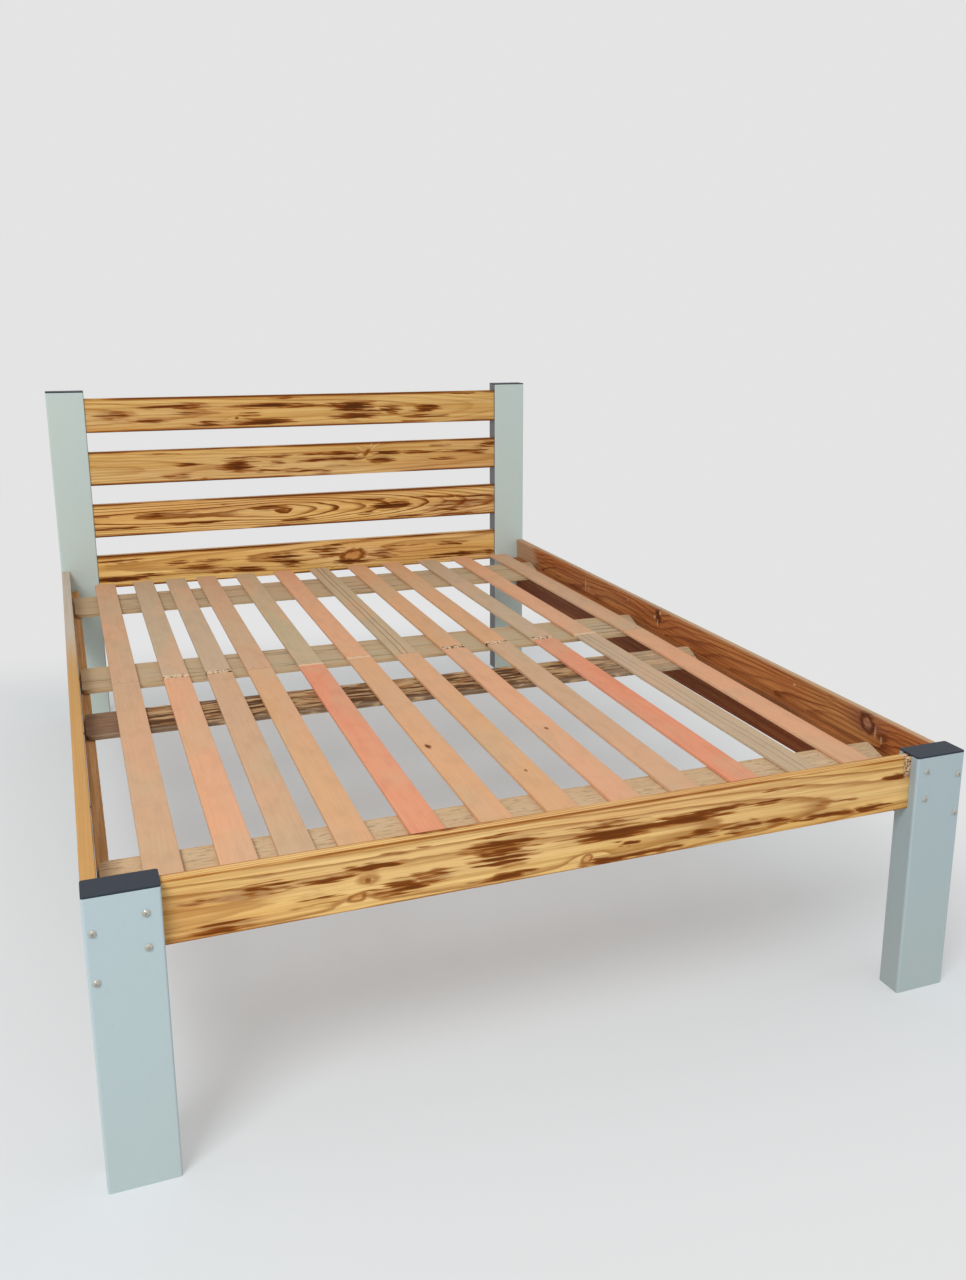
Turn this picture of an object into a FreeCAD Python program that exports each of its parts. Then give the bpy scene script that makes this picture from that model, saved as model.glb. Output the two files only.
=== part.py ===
import FreeCAD, Part
import math
import os

# Double bed: four painted steel-tube posts carry a scorched-pine headboard and foot rail,
# two plank side rails and two drop-in slat panels that lie on ledger strips.
# X runs across the bed, to the right as seen from its foot. Y runs from foot to head. Z is up.
# The origin is on the floor under the middle of the bed. Sizes are in millimetres.

# Overall frame, over the outer faces of the posts
BED_LENGTH = 2120.0
BED_WIDTH = 1434.0

# Steel-tube posts
POST_WIDTH = 100.0
POST_DEPTH = 50.0
POST_WALL = 2.0
POST_CORNER_RADIUS = 4.0
POST_INNER_RADIUS = 2.0
HEAD_POST_HEIGHT = 949.0
FOOT_POST_HEIGHT = 447.0

# Plastic caps on the posts, held by two tongues inside the tube
CAP_THICKNESS = 3.0
CAP_EDGE_RADIUS = 1.0
CAP_TONGUE_THICKNESS = 2.4
CAP_TONGUE_DEPTH = 14.0
CAP_TONGUE_INSET = 13.0
CAP_FIT = 0.1

# Headboard boards, counted down from the top of the head posts
BOARD_NAMES = ("top", "upper", "lower", "bottom")
BOARD_HEIGHT = 96.5
BOARD_THICKNESS = 22.0
BOARD_GAP = 55.0
BOARD_EDGE_RADIUS = 1.5
HEADBOARD_DROP = 18.0
# Room between the head post's front wall and the boards
BOARD_FRONT_GAP = 3.0

# Foot rail, just under the top of the foot posts
FOOT_RAIL_HEIGHT = 95.0
FOOT_RAIL_THICKNESS = 22.0
FOOT_RAIL_EDGE_RADIUS = 1.5
FOOT_RAIL_DROP = 2.0
# Room between the foot rail and the foot post's back wall
FOOT_RAIL_BACK_GAP = 8.5

# Ends of the headboard boards and the foot rail inside the posts
INSERT_DEPTH = 45.0
SLOT_FIT = 0.3

# Side rails, flush with the outer faces of the posts
RAIL_HEIGHT = 160.0
RAIL_THICKNESS = 22.0
RAIL_EDGE_RADIUS = 1.5
RAIL_DROP = 7.0

# Ledger strips on the inner faces of the side rails
LEDGER_WIDTH = 20.0
LEDGER_HEIGHT = 40.0
LEDGER_DROP = 57.0
LEDGER_END_GAP = 15.0
LEDGER_EDGE_RADIUS = 1.0

# Flat cross boards of the slat panels
CROSS_BOARD_THICKNESS = 10.0
CROSS_BOARD_END_GAP = 4.0
CROSS_BOARD_CORNER_RADIUS = 12.0
# The right ends are sawn at a slant: their foot-side corners are shorter by this much
CROSS_BOARD_SLANT = 45.0
HEAD_BOARD_WIDTH = 200.0
HEAD_BOARD_INSET = 111.0
MID_BOARD_WIDTH = 165.0
LOW_BOARD_WIDTH = 137.0
LOW_BOARD_INSET = 155.0
FOOT_BOARD_WIDTH = 140.0

# Slats of both panels, and how far each sits off an even spacing
SLAT_WIDTH = 56.0
SLAT_THICKNESS = 8.0
SLAT_EDGE_RADIUS = 0.8
SLAT_END_GAP = 29.0
SLAT_OFFSETS = (34, 24, 0, -28, -30, -31, -36, -33, -36, -33, -35, -20)
# The foot slats run askew: how far the foot end of each sits to the left of its other end
FOOT_SLAT_DRIFTS = (2, 2, 9, 8, 8, 9, 5, 10, 11, 13, 6, 24)
PANEL_GAP = 2.0

# Dome heads of the bolts and screws on the posts
DOME_DIAMETER = 11.0
DOME_HEIGHT = 3.3
DOME_RIM = 0.6
SOCKET_WIDTH = 4.0
SOCKET_DEPTH = 1.6

# Bolts through the posts into barrel nuts in the side rails
BOLT_DIAMETER = 6.0
BOLT_SPACING = 72.0
BOLT_REACH = 50.0
BOLT_TIP = 1.5
# How far the bolts sit above the middle of the left (-1) and the right (1) rail
BOLT_RISE = {-1: 0.0, 1: 12.0}
BOLT_CLEARANCE = 0.25
BORE_RELIEF = 3.0
BARREL_DIAMETER = 10.0
BARREL_INSET = 3.0
BARREL_SETBACK = 38.0
BARREL_FIT = 0.1

# Screws through the posts into the headboard boards and the foot rail
SCREW_DIAMETER = 5.0
SCREW_SPACING = 50.0
SCREW_INSET = 21.0
# How far the left (-1) and the right (1) pair sits below the middle of the foot rail
FOOT_SCREW_DROP = {-1: 10.0, 1: 1.0}
SCREW_BITE = 16.0
SCREW_TIP = 5.0
SCREW_FIT = 0.1

# Countersunk screws through the ledgers into the side rails
LEDGER_SCREW_COUNT = 6
LEDGER_SCREW_DIAMETER = 4.0
LEDGER_SCREW_HEAD = 8.0
LEDGER_SCREW_BITE = 12.0
LEDGER_SCREW_MARGIN = 60.0

# Nails that hold the slats to the cross boards
NAIL_DIAMETER = 2.5
NAIL_HEAD_DIAMETER = 5.0
NAIL_HEAD_THICKNESS = 1.0
NAIL_TIP = 2.0
NAIL_BITE = 5.0
NAIL_SPREAD = 26.0
NAIL_END_MARGIN = 14.0
NAIL_FIT = 0.05

# Faces and heights that several pieces share
HALF_LENGTH = BED_LENGTH / 2
HALF_WIDTH = BED_WIDTH / 2
POST_INNER_FACE = HALF_WIDTH - POST_WIDTH
RAIL_INNER_FACE = HALF_WIDTH - RAIL_THICKNESS
RAIL_END = HALF_LENGTH - POST_DEPTH
RAIL_TOP = FOOT_POST_HEIGHT - RAIL_DROP
RAIL_MIDDLE = RAIL_TOP - RAIL_HEIGHT / 2
LEDGER_TOP = RAIL_TOP - LEDGER_DROP
LEDGER_END = RAIL_END - LEDGER_END_GAP
SLAT_BASE = LEDGER_TOP + CROSS_BOARD_THICKNESS
SLAT_TOP = SLAT_BASE + SLAT_THICKNESS
SLAT_START = PANEL_GAP / 2
SLAT_END = RAIL_END - SLAT_END_GAP
BOARD_FRONT = RAIL_END + POST_WALL + BOARD_FRONT_GAP
BOARD_BACK = BOARD_FRONT + BOARD_THICKNESS
FOOT_RAIL_BACK = RAIL_END + POST_WALL + FOOT_RAIL_BACK_GAP
FOOT_RAIL_FRONT = FOOT_RAIL_BACK + FOOT_RAIL_THICKNESS
FOOT_RAIL_TOP = FOOT_POST_HEIGHT - FOOT_RAIL_DROP

SIDES = {"left": -1, "right": 1}
ENDS = {"foot": -1, "head": 1}
POST_HEIGHTS = {"foot": FOOT_POST_HEIGHT, "head": HEAD_POST_HEIGHT}
X_AXIS = FreeCAD.Vector(1, 0, 0)
Y_AXIS = FreeCAD.Vector(0, 1, 0)
Z_AXIS = FreeCAD.Vector(0, 0, 1)


def span(sign, near, far):
    """Range along an axis between two distances from the bed's middle, on one side of it."""
    return tuple(sorted((sign * near, sign * far)))


def box(x, y, z):
    """Block over three (low, high) ranges."""
    corner = FreeCAD.Vector(x[0], y[0], z[0])
    return Part.makeBox(x[1] - x[0], y[1] - y[0], z[1] - z[0], corner)


def rounded(block, axis, radius):
    """Block with the edges that run along an axis rounded."""
    edges = [edge for edge in block.Edges if abs(edge.tangentAt(edge.FirstParameter).dot(axis)) > 0.5]
    return block.makeFillet(radius, edges)


def rod(radius, start, direction, length):
    """Round rod from a start point along a direction."""
    return Part.makeCylinder(radius, length, start, direction)


def turned(edges):
    """Solid of revolution about Z from the edges of its half section."""
    return Part.Face(Part.Wire(edges)).revolve(FreeCAD.Vector(), Z_AXIS, 360)


def half_section(points):
    """Straight edges through (radius, height) points."""
    places = [FreeCAD.Vector(radius, 0, height) for radius, height in points]
    return [Part.makeLine(start, end) for start, end in zip(places, places[1:])]


def placed(shape, position, direction):
    """Copy of a shape made along +Z, moved to a position and turned along a direction."""
    copy = shape.copy()
    copy.Placement = FreeCAD.Placement(position, FreeCAD.Rotation(Z_AXIS, direction))
    return copy


def save(node, shapes):
    """Write one node, made of one solid or of a group of separate solids."""
    solids = [solid for shape in shapes for solid in shape.Solids]
    Part.makeCompound(solids).exportStep("parts/" + node + ".step")


def board_levels():
    """Bottom and top of each headboard board, from the highest down."""
    top = HEAD_POST_HEIGHT - HEADBOARD_DROP
    levels = []
    for _ in BOARD_NAMES:
        levels.append((top - BOARD_HEIGHT, top))
        top -= BOARD_HEIGHT + BOARD_GAP
    return levels


def screw_heights(level):
    """Heights of the two screws in the end of a board."""
    middle = (level[0] + level[1]) / 2
    return (middle - SCREW_SPACING / 2, middle + SCREW_SPACING / 2)


def bolt_heights(side):
    """Heights of the two bolts in the end of a side rail."""
    middle = RAIL_MIDDLE + BOLT_RISE[side]
    return (middle - BOLT_SPACING / 2, middle + BOLT_SPACING / 2)


def bolt_seats(side, end):
    """Points on a post's outer face where the side rail's bolts enter."""
    x = side * (HALF_WIDTH - RAIL_THICKNESS / 2)
    return [FreeCAD.Vector(x, end * HALF_LENGTH, z) for z in bolt_heights(side)]


def screw_seats(side, end):
    """Points on a post's outer face where its board screws enter."""
    x = side * (POST_INNER_FACE + SCREW_INSET)
    if end > 0:
        heights = [z for level in board_levels() for z in screw_heights(level)]
    else:
        level = (FOOT_RAIL_TOP - FOOT_RAIL_HEIGHT, FOOT_RAIL_TOP)
        heights = [z - FOOT_SCREW_DROP[side] for z in screw_heights(level)]
    return [FreeCAD.Vector(x, end * HALF_LENGTH, z) for z in heights]


def slot_tools(side, end):
    """Openings in a post's inner face for the board ends, with room all round."""
    x = span(side, POST_INNER_FACE - POST_WALL, POST_INNER_FACE + 2 * POST_WALL)
    if end > 0:
        y = (BOARD_FRONT - SLOT_FIT, BOARD_BACK + SLOT_FIT)
        return [box(x, y, (low - SLOT_FIT, high + SLOT_FIT)) for low, high in board_levels()]
    y = span(end, FOOT_RAIL_BACK - SLOT_FIT, FOOT_RAIL_FRONT + SLOT_FIT)
    low = FOOT_RAIL_TOP - FOOT_RAIL_HEIGHT - SLOT_FIT
    return [box(x, y, (low, FOOT_POST_HEIGHT + CAP_THICKNESS))]


def post(side, end, height):
    """Rectangular tube with slots for the boards and holes for the bolts and screws."""
    inward = FreeCAD.Vector(0, -end, 0)
    x = span(side, POST_INNER_FACE, HALF_WIDTH)
    y = span(end, RAIL_END, HALF_LENGTH)
    tube = rounded(box(x, y, (0, height)), Z_AXIS, POST_CORNER_RADIUS)
    hollow_x = span(side, POST_INNER_FACE + POST_WALL, HALF_WIDTH - POST_WALL)
    hollow_y = span(end, RAIL_END + POST_WALL, HALF_LENGTH - POST_WALL)
    hollow = rounded(box(hollow_x, hollow_y, (0, height)), Z_AXIS, POST_INNER_RADIUS)
    bolt_radius = BOLT_DIAMETER / 2 + BOLT_CLEARANCE
    bores = [rod(bolt_radius, seat, inward, POST_DEPTH) for seat in bolt_seats(side, end)]
    screw_radius = SCREW_DIAMETER / 2 + SCREW_FIT
    holes = [rod(screw_radius, seat, inward, POST_WALL) for seat in screw_seats(side, end)]
    return tube.cut([hollow] + slot_tools(side, end) + bores + holes)


def cap(side, end, height):
    """Flat cap with rounded rim and two tongues along the wide walls of the tube."""
    x = span(side, POST_INNER_FACE, HALF_WIDTH)
    y = span(end, RAIL_END, HALF_LENGTH)
    plate = rounded(box(x, y, (height, height + CAP_THICKNESS)), Z_AXIS, POST_CORNER_RADIUS)
    rim = [edge for edge in plate.Edges if edge.BoundBox.ZMin > height + CAP_THICKNESS / 2]
    plate = plate.makeFillet(CAP_EDGE_RADIUS, rim)
    inset = POST_WALL + CAP_TONGUE_INSET
    tongue_x = span(side, POST_INNER_FACE + inset, HALF_WIDTH - inset)
    tongue_z = (height - CAP_TONGUE_DEPTH, height)
    clear = POST_WALL + CAP_FIT
    near = span(end, RAIL_END + clear, RAIL_END + clear + CAP_TONGUE_THICKNESS)
    far = span(end, HALF_LENGTH - clear - CAP_TONGUE_THICKNESS, HALF_LENGTH - clear)
    return plate.fuse([box(tongue_x, near, tongue_z), box(tongue_x, far, tongue_z)]).removeSplitter()


def screwed_board(end, y, level, edge_radius):
    """Board across the bed with its ends in two posts and pilot holes for their screws."""
    reach = POST_INNER_FACE + INSERT_DEPTH
    plank = rounded(box((-reach, reach), y, level), X_AXIS, edge_radius)
    inward = FreeCAD.Vector(0, -end, 0)
    length = screw_length(end) + SCREW_FIT
    radius = SCREW_DIAMETER / 2 + SCREW_FIT
    seats = [seat for side in SIDES.values() for seat in screw_seats(side, end)]
    return plank.cut([rod(radius, seat, inward, length) for seat in seats if level[0] < seat.z < level[1]])


def screw_length(end):
    """Length of a screw from the post's outer face into the board behind it."""
    face = BOARD_BACK if end > 0 else FOOT_RAIL_FRONT
    return HALF_LENGTH - face + SCREW_BITE


def side_rail(side):
    """Plank between the posts with bolt bores, barrel nut holes and ledger screw holes."""
    x = span(side, RAIL_INNER_FACE, HALF_WIDTH)
    plank = box(x, (-RAIL_END, RAIL_END), (RAIL_TOP - RAIL_HEIGHT, RAIL_TOP))
    plank = rounded(plank, Y_AXIS, RAIL_EDGE_RADIUS)
    tools = []
    for end in ENDS.values():
        for seat in bolt_seats(side, end):
            mouth = FreeCAD.Vector(seat.x, end * RAIL_END, seat.z)
            inward = FreeCAD.Vector(0, -end, 0)
            tools.append(rod(BOLT_DIAMETER / 2 + BOLT_CLEARANCE, mouth, inward, BOLT_REACH + BORE_RELIEF))
            outside = FreeCAD.Vector(side * HALF_WIDTH, end * (RAIL_END - BARREL_SETBACK), seat.z)
            depth = RAIL_THICKNESS - BARREL_INSET + BARREL_FIT
            tools.append(rod(BARREL_DIAMETER / 2 + BARREL_FIT, outside, X_AXIS * -side, depth))
    radius = LEDGER_SCREW_DIAMETER / 2 + SCREW_FIT
    for seat in ledger_screw_seats(side):
        tools.append(rod(radius, seat, X_AXIS * side, LEDGER_WIDTH + LEDGER_SCREW_BITE + SCREW_FIT))
    return plank.cut(tools)


def ledger(side):
    """Strip under the cross boards with countersunk screw holes."""
    x = span(side, RAIL_INNER_FACE - LEDGER_WIDTH, RAIL_INNER_FACE)
    strip = box(x, (-LEDGER_END, LEDGER_END), (LEDGER_TOP - LEDGER_HEIGHT, LEDGER_TOP))
    strip = rounded(strip, Y_AXIS, LEDGER_EDGE_RADIUS)
    hole = ledger_screw(SCREW_FIT)
    return strip.cut([placed(hole, seat, X_AXIS * side) for seat in ledger_screw_seats(side)])


def ledger_screw_seats(side):
    """Points on a ledger's inner face where its screws enter, evenly spaced."""
    first = LEDGER_SCREW_MARGIN - LEDGER_END
    step = -2 * first / (LEDGER_SCREW_COUNT - 1)
    x = side * (RAIL_INNER_FACE - LEDGER_WIDTH)
    z = LEDGER_TOP - LEDGER_HEIGHT / 2
    return [FreeCAD.Vector(x, first + step * place, z) for place in range(LEDGER_SCREW_COUNT)]


def ledger_screw(fit=0.0):
    """Countersunk wood screw along +Z from its flat head, or its hole when it is given room."""
    shank = LEDGER_SCREW_DIAMETER / 2 + fit
    head = LEDGER_SCREW_HEAD / 2 + fit
    length = LEDGER_WIDTH + LEDGER_SCREW_BITE
    neck = head - shank
    points = [(0, 0), (head, 0), (shank, neck), (shank, length - SCREW_TIP), (0, length + fit), (0, 0)]
    return turned(half_section(points))


def dome_fastener(shank_diameter, length, tip):
    """Dome-head bolt or screw along +Z, seated at the origin, with a hex socket in its head."""
    rim = DOME_DIAMETER / 2
    rise = DOME_HEIGHT - DOME_RIM
    sphere = (rim ** 2 + rise ** 2) / (2 * rise)
    half_turn = math.asin(rim / sphere) / 2
    crown = FreeCAD.Vector(0, 0, -DOME_HEIGHT)
    middle_drop = sphere * (1 - math.cos(half_turn))
    middle = FreeCAD.Vector(sphere * math.sin(half_turn), 0, middle_drop - DOME_HEIGHT)
    edge = FreeCAD.Vector(rim, 0, -DOME_RIM)
    dome = Part.Arc(crown, middle, edge).toShape()
    shank = shank_diameter / 2
    nose = shank / 2
    points = [(rim, -DOME_RIM), (rim, 0), (shank, 0), (shank, length - tip), (nose, length), (0, length)]
    body = turned([dome] + half_section(points + [(0, -DOME_HEIGHT)]))
    corner = SOCKET_WIDTH / math.sqrt(3)
    corners = [FreeCAD.Vector(corner * math.cos(turn * math.pi / 3), corner * math.sin(turn * math.pi / 3),
                              -DOME_HEIGHT) for turn in range(7)]
    socket = Part.Face(Part.makePolygon(corners)).extrude(Z_AXIS * SOCKET_DEPTH)
    return body.cut(socket)


def barrel_nut(side, end, z):
    """Cross dowel in a side rail with a hole for the bolt."""
    start = FreeCAD.Vector(side * (HALF_WIDTH - BARREL_INSET), end * (RAIL_END - BARREL_SETBACK), z)
    dowel = rod(BARREL_DIAMETER / 2, start, X_AXIS * -side, RAIL_THICKNESS - 2 * BARREL_INSET)
    x = side * (HALF_WIDTH - RAIL_THICKNESS / 2)
    mouth = FreeCAD.Vector(x, end * RAIL_END, z)
    return dowel.cut(rod(BOLT_DIAMETER / 2 + BARREL_FIT, mouth, Y_AXIS * -end, 2 * BARREL_SETBACK))


def slat_centres():
    """Middle of each slat across the bed: an even spacing with hand-set offsets."""
    pitch = 2 * RAIL_INNER_FACE / len(SLAT_OFFSETS)
    return [pitch * (place + 0.5) - RAIL_INNER_FACE + offset for place, offset in enumerate(SLAT_OFFSETS)]


def slat_lines(end):
    """Middle of each slat of a panel at the bed's middle, with the angle at which it runs askew."""
    drifts = FOOT_SLAT_DRIFTS if end == ENDS["foot"] else (0,) * len(SLAT_OFFSETS)
    angles = [math.asin(drift / (SLAT_END - SLAT_START)) for drift in drifts]
    return list(zip(slat_centres(), angles))


def crossings(board):
    """Middle of each slat where it crosses a cross board."""
    end, (low, high) = cross_board_ranges()[board]
    run = abs((low + high) / 2) - SLAT_START
    return [x - run * math.tan(angle) for x, angle in slat_lines(end)]


def cross_board_ranges():
    """Y range of each cross board, by name, with the end of the bed its panel lies at."""
    head_back = SLAT_END - HEAD_BOARD_INSET
    low_front = SLAT_START + LOW_BOARD_INSET
    return {
        "head": (1, (head_back - HEAD_BOARD_WIDTH, head_back)),
        "mid": (1, (SLAT_START, SLAT_START + MID_BOARD_WIDTH)),
        "low": (-1, (-low_front - LOW_BOARD_WIDTH, -low_front)),
        "foot": (-1, (-SLAT_END, FOOT_BOARD_WIDTH - SLAT_END)),
    }


def nail_seats(board, slat_x):
    """Points and direction of the two nails where a slat crosses a cross board."""
    low, high = cross_board_ranges()[board][1]
    places = (slat_x - NAIL_SPREAD / 2, slat_x + NAIL_SPREAD / 2)
    if board == "mid":
        return [(FreeCAD.Vector(x, low + NAIL_END_MARGIN, SLAT_TOP), Z_AXIS * -1) for x in places]
    return [(FreeCAD.Vector(x, (low + high) / 2, LEDGER_TOP), Z_AXIS) for x in places]


def nail(board, fit=0.0):
    """Flat-head nail along +Z from its head, or its hole when it is given room."""
    first_piece = SLAT_THICKNESS if board == "mid" else CROSS_BOARD_THICKNESS
    length = first_piece + NAIL_BITE
    head = NAIL_HEAD_DIAMETER / 2 + fit
    shank = NAIL_DIAMETER / 2 + fit
    neck = NAIL_HEAD_THICKNESS + fit
    top = [(0, 0), (head, 0), (head, neck), (shank, neck)]
    point = [(shank, length - NAIL_TIP), (0, length + fit), (0, 0)]
    return turned(half_section(top + point))


def nail_shapes(board, slat_x, fit=0.0):
    """Nails, or their holes, where a slat crosses a cross board."""
    pattern = nail(board, fit)
    return [placed(pattern, seat, direction) for seat, direction in nail_seats(board, slat_x)]


def cross_board(board):
    """Flat board across a panel, with a slanted right end, rounded corners and nail holes."""
    low, high = cross_board_ranges()[board][1]
    reach = RAIL_INNER_FACE - CROSS_BOARD_END_GAP
    outline = [(-reach, low), (reach - CROSS_BOARD_SLANT, low), (reach, high), (-reach, high), (-reach, low)]
    corners = [FreeCAD.Vector(x, y, LEDGER_TOP) for x, y in outline]
    slab = Part.Face(Part.makePolygon(corners)).extrude(Z_AXIS * CROSS_BOARD_THICKNESS)
    plank = rounded(slab, Z_AXIS, CROSS_BOARD_CORNER_RADIUS)
    return plank.cut([hole for x in crossings(board) for hole in nail_shapes(board, x, NAIL_FIT)])


def slat(end, place):
    """Thin slat along the bed, with nail holes over its panel's cross boards."""
    x, angle = slat_lines(end)[place]
    width = (x - SLAT_WIDTH / 2, x + SLAT_WIDTH / 2)
    strip = box(width, span(end, SLAT_START, SLAT_END), (SLAT_BASE, SLAT_TOP))
    strip = rounded(strip, Y_AXIS, SLAT_EDGE_RADIUS)
    strip.rotate(FreeCAD.Vector(x, end * SLAT_START, 0), Z_AXIS, end * math.degrees(angle))
    boards = [board for board, (panel, _) in cross_board_ranges().items() if panel == end]
    return strip.cut([hole for board in boards for hole in nail_shapes(board, crossings(board)[place], NAIL_FIT)])


def save_posts():
    """Posts with their caps."""
    for end_name, end in ENDS.items():
        for side_name, side in SIDES.items():
            height = POST_HEIGHTS[end_name]
            save(end_name + "_post_" + side_name, [post(side, end, height)])
            save(end_name + "_cap_" + side_name, [cap(side, end, height)])


def save_boards():
    """Headboard boards and foot rail."""
    for name, level in zip(BOARD_NAMES, board_levels()):
        save("headboard_" + name + "_board",
             [screwed_board(ENDS["head"], (BOARD_FRONT, BOARD_BACK), level, BOARD_EDGE_RADIUS)])
    y = span(ENDS["foot"], FOOT_RAIL_BACK, FOOT_RAIL_FRONT)
    level = (FOOT_RAIL_TOP - FOOT_RAIL_HEIGHT, FOOT_RAIL_TOP)
    save("foot_rail", [screwed_board(ENDS["foot"], y, level, FOOT_RAIL_EDGE_RADIUS)])


def save_rails():
    """Side rails with their ledgers."""
    for side_name, side in SIDES.items():
        save("side_rail_" + side_name, [side_rail(side)])
        save("ledger_" + side_name, [ledger(side)])


def save_panels():
    """Cross boards and slats of both panels."""
    for board in cross_board_ranges():
        save(board + "_cross_board", [cross_board(board)])
    for end_name, end in ENDS.items():
        for place in range(len(SLAT_OFFSETS)):
            save("%s_slat_%02d" % (end_name, place + 1), [slat(end, place)])


def save_fasteners():
    """Groups of like bolts, nuts, screws and nails."""
    corners = [(side, end) for end in ENDS.values() for side in SIDES.values()]
    bolt = dome_fastener(BOLT_DIAMETER, POST_DEPTH + BOLT_REACH, BOLT_TIP)
    save("rail_bolts", [placed(bolt, seat, Y_AXIS * -end)
                        for side, end in corners for seat in bolt_seats(side, end)])
    save("barrel_nuts", [barrel_nut(side, end, z) for side, end in corners for z in bolt_heights(side)])
    for end_name, node in (("head", "headboard_screws"), ("foot", "foot_rail_screws")):
        end = ENDS[end_name]
        screw = dome_fastener(SCREW_DIAMETER, screw_length(end), SCREW_TIP)
        save(node, [placed(screw, seat, Y_AXIS * -end)
                    for side in SIDES.values() for seat in screw_seats(side, end)])
    save("ledger_screws", [placed(ledger_screw(), seat, X_AXIS * side)
                           for side in SIDES.values() for seat in ledger_screw_seats(side)])
    save("joint_nails", [shape for x in crossings("mid") for shape in nail_shapes("mid", x)])
    save("panel_nails", [shape for board in ("head", "low", "foot")
                         for x in crossings(board) for shape in nail_shapes(board, x)])


os.makedirs("parts", exist_ok=True)
save_posts()
save_boards()
save_rails()
save_panels()
save_fasteners()
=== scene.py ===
import math
from collections import namedtuple

import bmesh
import bpy
import numpy as np
from bpy.props import FloatProperty, FloatVectorProperty, PointerProperty
from bpy.types import NodeSocket, Operator, Panel, PropertyGroup
from mathutils import Matrix, Vector


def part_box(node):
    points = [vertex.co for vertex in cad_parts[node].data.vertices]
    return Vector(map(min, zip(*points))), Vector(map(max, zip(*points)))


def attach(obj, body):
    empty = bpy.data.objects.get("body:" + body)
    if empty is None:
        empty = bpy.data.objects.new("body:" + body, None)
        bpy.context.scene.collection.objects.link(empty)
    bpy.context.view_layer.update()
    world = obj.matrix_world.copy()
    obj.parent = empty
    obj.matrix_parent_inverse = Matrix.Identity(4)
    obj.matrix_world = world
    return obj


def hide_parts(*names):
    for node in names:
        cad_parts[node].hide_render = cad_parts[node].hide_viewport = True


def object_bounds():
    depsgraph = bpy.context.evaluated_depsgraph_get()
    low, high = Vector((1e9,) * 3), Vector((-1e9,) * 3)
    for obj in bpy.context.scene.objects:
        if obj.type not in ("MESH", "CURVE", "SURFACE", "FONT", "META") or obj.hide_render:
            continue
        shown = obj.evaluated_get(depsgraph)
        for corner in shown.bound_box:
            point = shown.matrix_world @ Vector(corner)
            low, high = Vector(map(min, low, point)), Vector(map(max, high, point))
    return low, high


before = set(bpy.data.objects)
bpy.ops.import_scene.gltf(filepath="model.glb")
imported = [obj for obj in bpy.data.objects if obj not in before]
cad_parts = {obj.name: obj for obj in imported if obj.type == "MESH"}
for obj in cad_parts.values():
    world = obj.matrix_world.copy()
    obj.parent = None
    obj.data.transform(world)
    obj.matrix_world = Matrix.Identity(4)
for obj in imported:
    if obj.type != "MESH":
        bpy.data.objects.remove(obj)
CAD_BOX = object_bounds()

bl_info = {
    "name": "Scorched pine bed",
    "version": (1, 0, 0),
    "blender": (4, 5, 0),
    "location": "View3D > Sidebar > Bed",
    "description": "Finishes a double bed of steel-tube posts, scorched pine boards and raw slats",
    "category": "Object",
}

MM = 0.001
X, Y, Z = range(3)
UNITS = (Vector((1, 0, 0)), Vector((0, 1, 0)), Vector((0, 0, 1)))
NODE_STEP = 180

# The photograph's camera, fitted to the bed's straight edges: its place, its turns in degrees one after
# another, and in pixels the photograph's size, the focal length and the point that the lens faces
CAMERA_PLACE = (-0.6922, -2.5243, 1.1865)
CAMERA_TURNS = ((-21.907, "Z"), (90 - 13.999, "X"), (0.353, "Z"))
PHOTO_WIDTH, PHOTO_HEIGHT = 966, 1280
FOCAL_LENGTH = 1160.9
LENS_POINT = (525.8, 597.8)
SENSOR_WIDTH = 36.0

# Each square soft light: its side and its place, and the point that all of them face
LIGHTS = {"key": (1.7, (-2.4, -3.1, 3.7)), "fill": (2.0, (2.6, -2.6, 1.8))}
LIT_POINT = Vector((0.0, 0.0, 0.3))

# How wide the floor is, and how far it lies below the feet
FLOOR_SIDE = 60.0
FLOOR_DROP = 0.2 * MM

# Passes of cuts along X, Y and Z that divide each kind of timber
BOARD_CUTS = ((17, 19), (5,), (47,))
RAIL_CUTS = ((4,), (19, 19), (31,))
LEDGER_CUTS = ((4,), (19, 9), (7,))
CROSS_BOARD_CUTS = ((17, 17), (31,), (2,))
SLAT_CUTS = ((11,), (9, 9), (1,))

# Width of the soft hollows in each kind of face
BRUSHED_HOLLOWS = 0.03
PLANED_HOLLOWS = 0.04
SAWN_HOLLOWS = 0.02
SLAT_HOLLOWS = 0.05

# The torn corner of the foot rail: how far it reaches out of the right post and down from the top edge,
# how far down its pale wood shows, and over what lengths that fades out sideways and downwards
TEAR_OUT = 14 * MM
TEAR_DOWN = 34 * MM
PALE_DOWN = 40 * MM
PALE_FADE = (8 * MM, 12 * MM)

# Wood left behind a blind nut hole, and how far the drill starts outside the face
BLIND_WALL = 3 * MM
DRILL_START = 1 * MM

# Edges that turn by more than this stay crisp
CRISP_ANGLE = math.radians(35)

# How many burns each board has on its unseen back, and the share of a burn that is its faint halo
UNSEEN_BURNS = 22
BURN_HALO = 0.3

# A board's figure: the tree's heart seen from the board's middle (along, into and up it), how fast the heart
# sinks away along the board, the width of a year's ring, how dark its rings are, a seed, how pale its wood
# is, and how strong the flame's stray licks, the soot in its burns and its charred edges are
Figure = namedtuple("Figure", "heart sink ring contrast seed light licks soot edge",
                    defaults=(0.32, 0.85, 1.0))

# Marks on a board's face in millimetres: along from its middle, up from its lower edge,
# half length, half height, how strong the mark is from 0 to 1, and how far it leans along for each step up
Mark = namedtuple("Mark", "along up length height depth lean", defaults=(0.0,))

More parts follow.
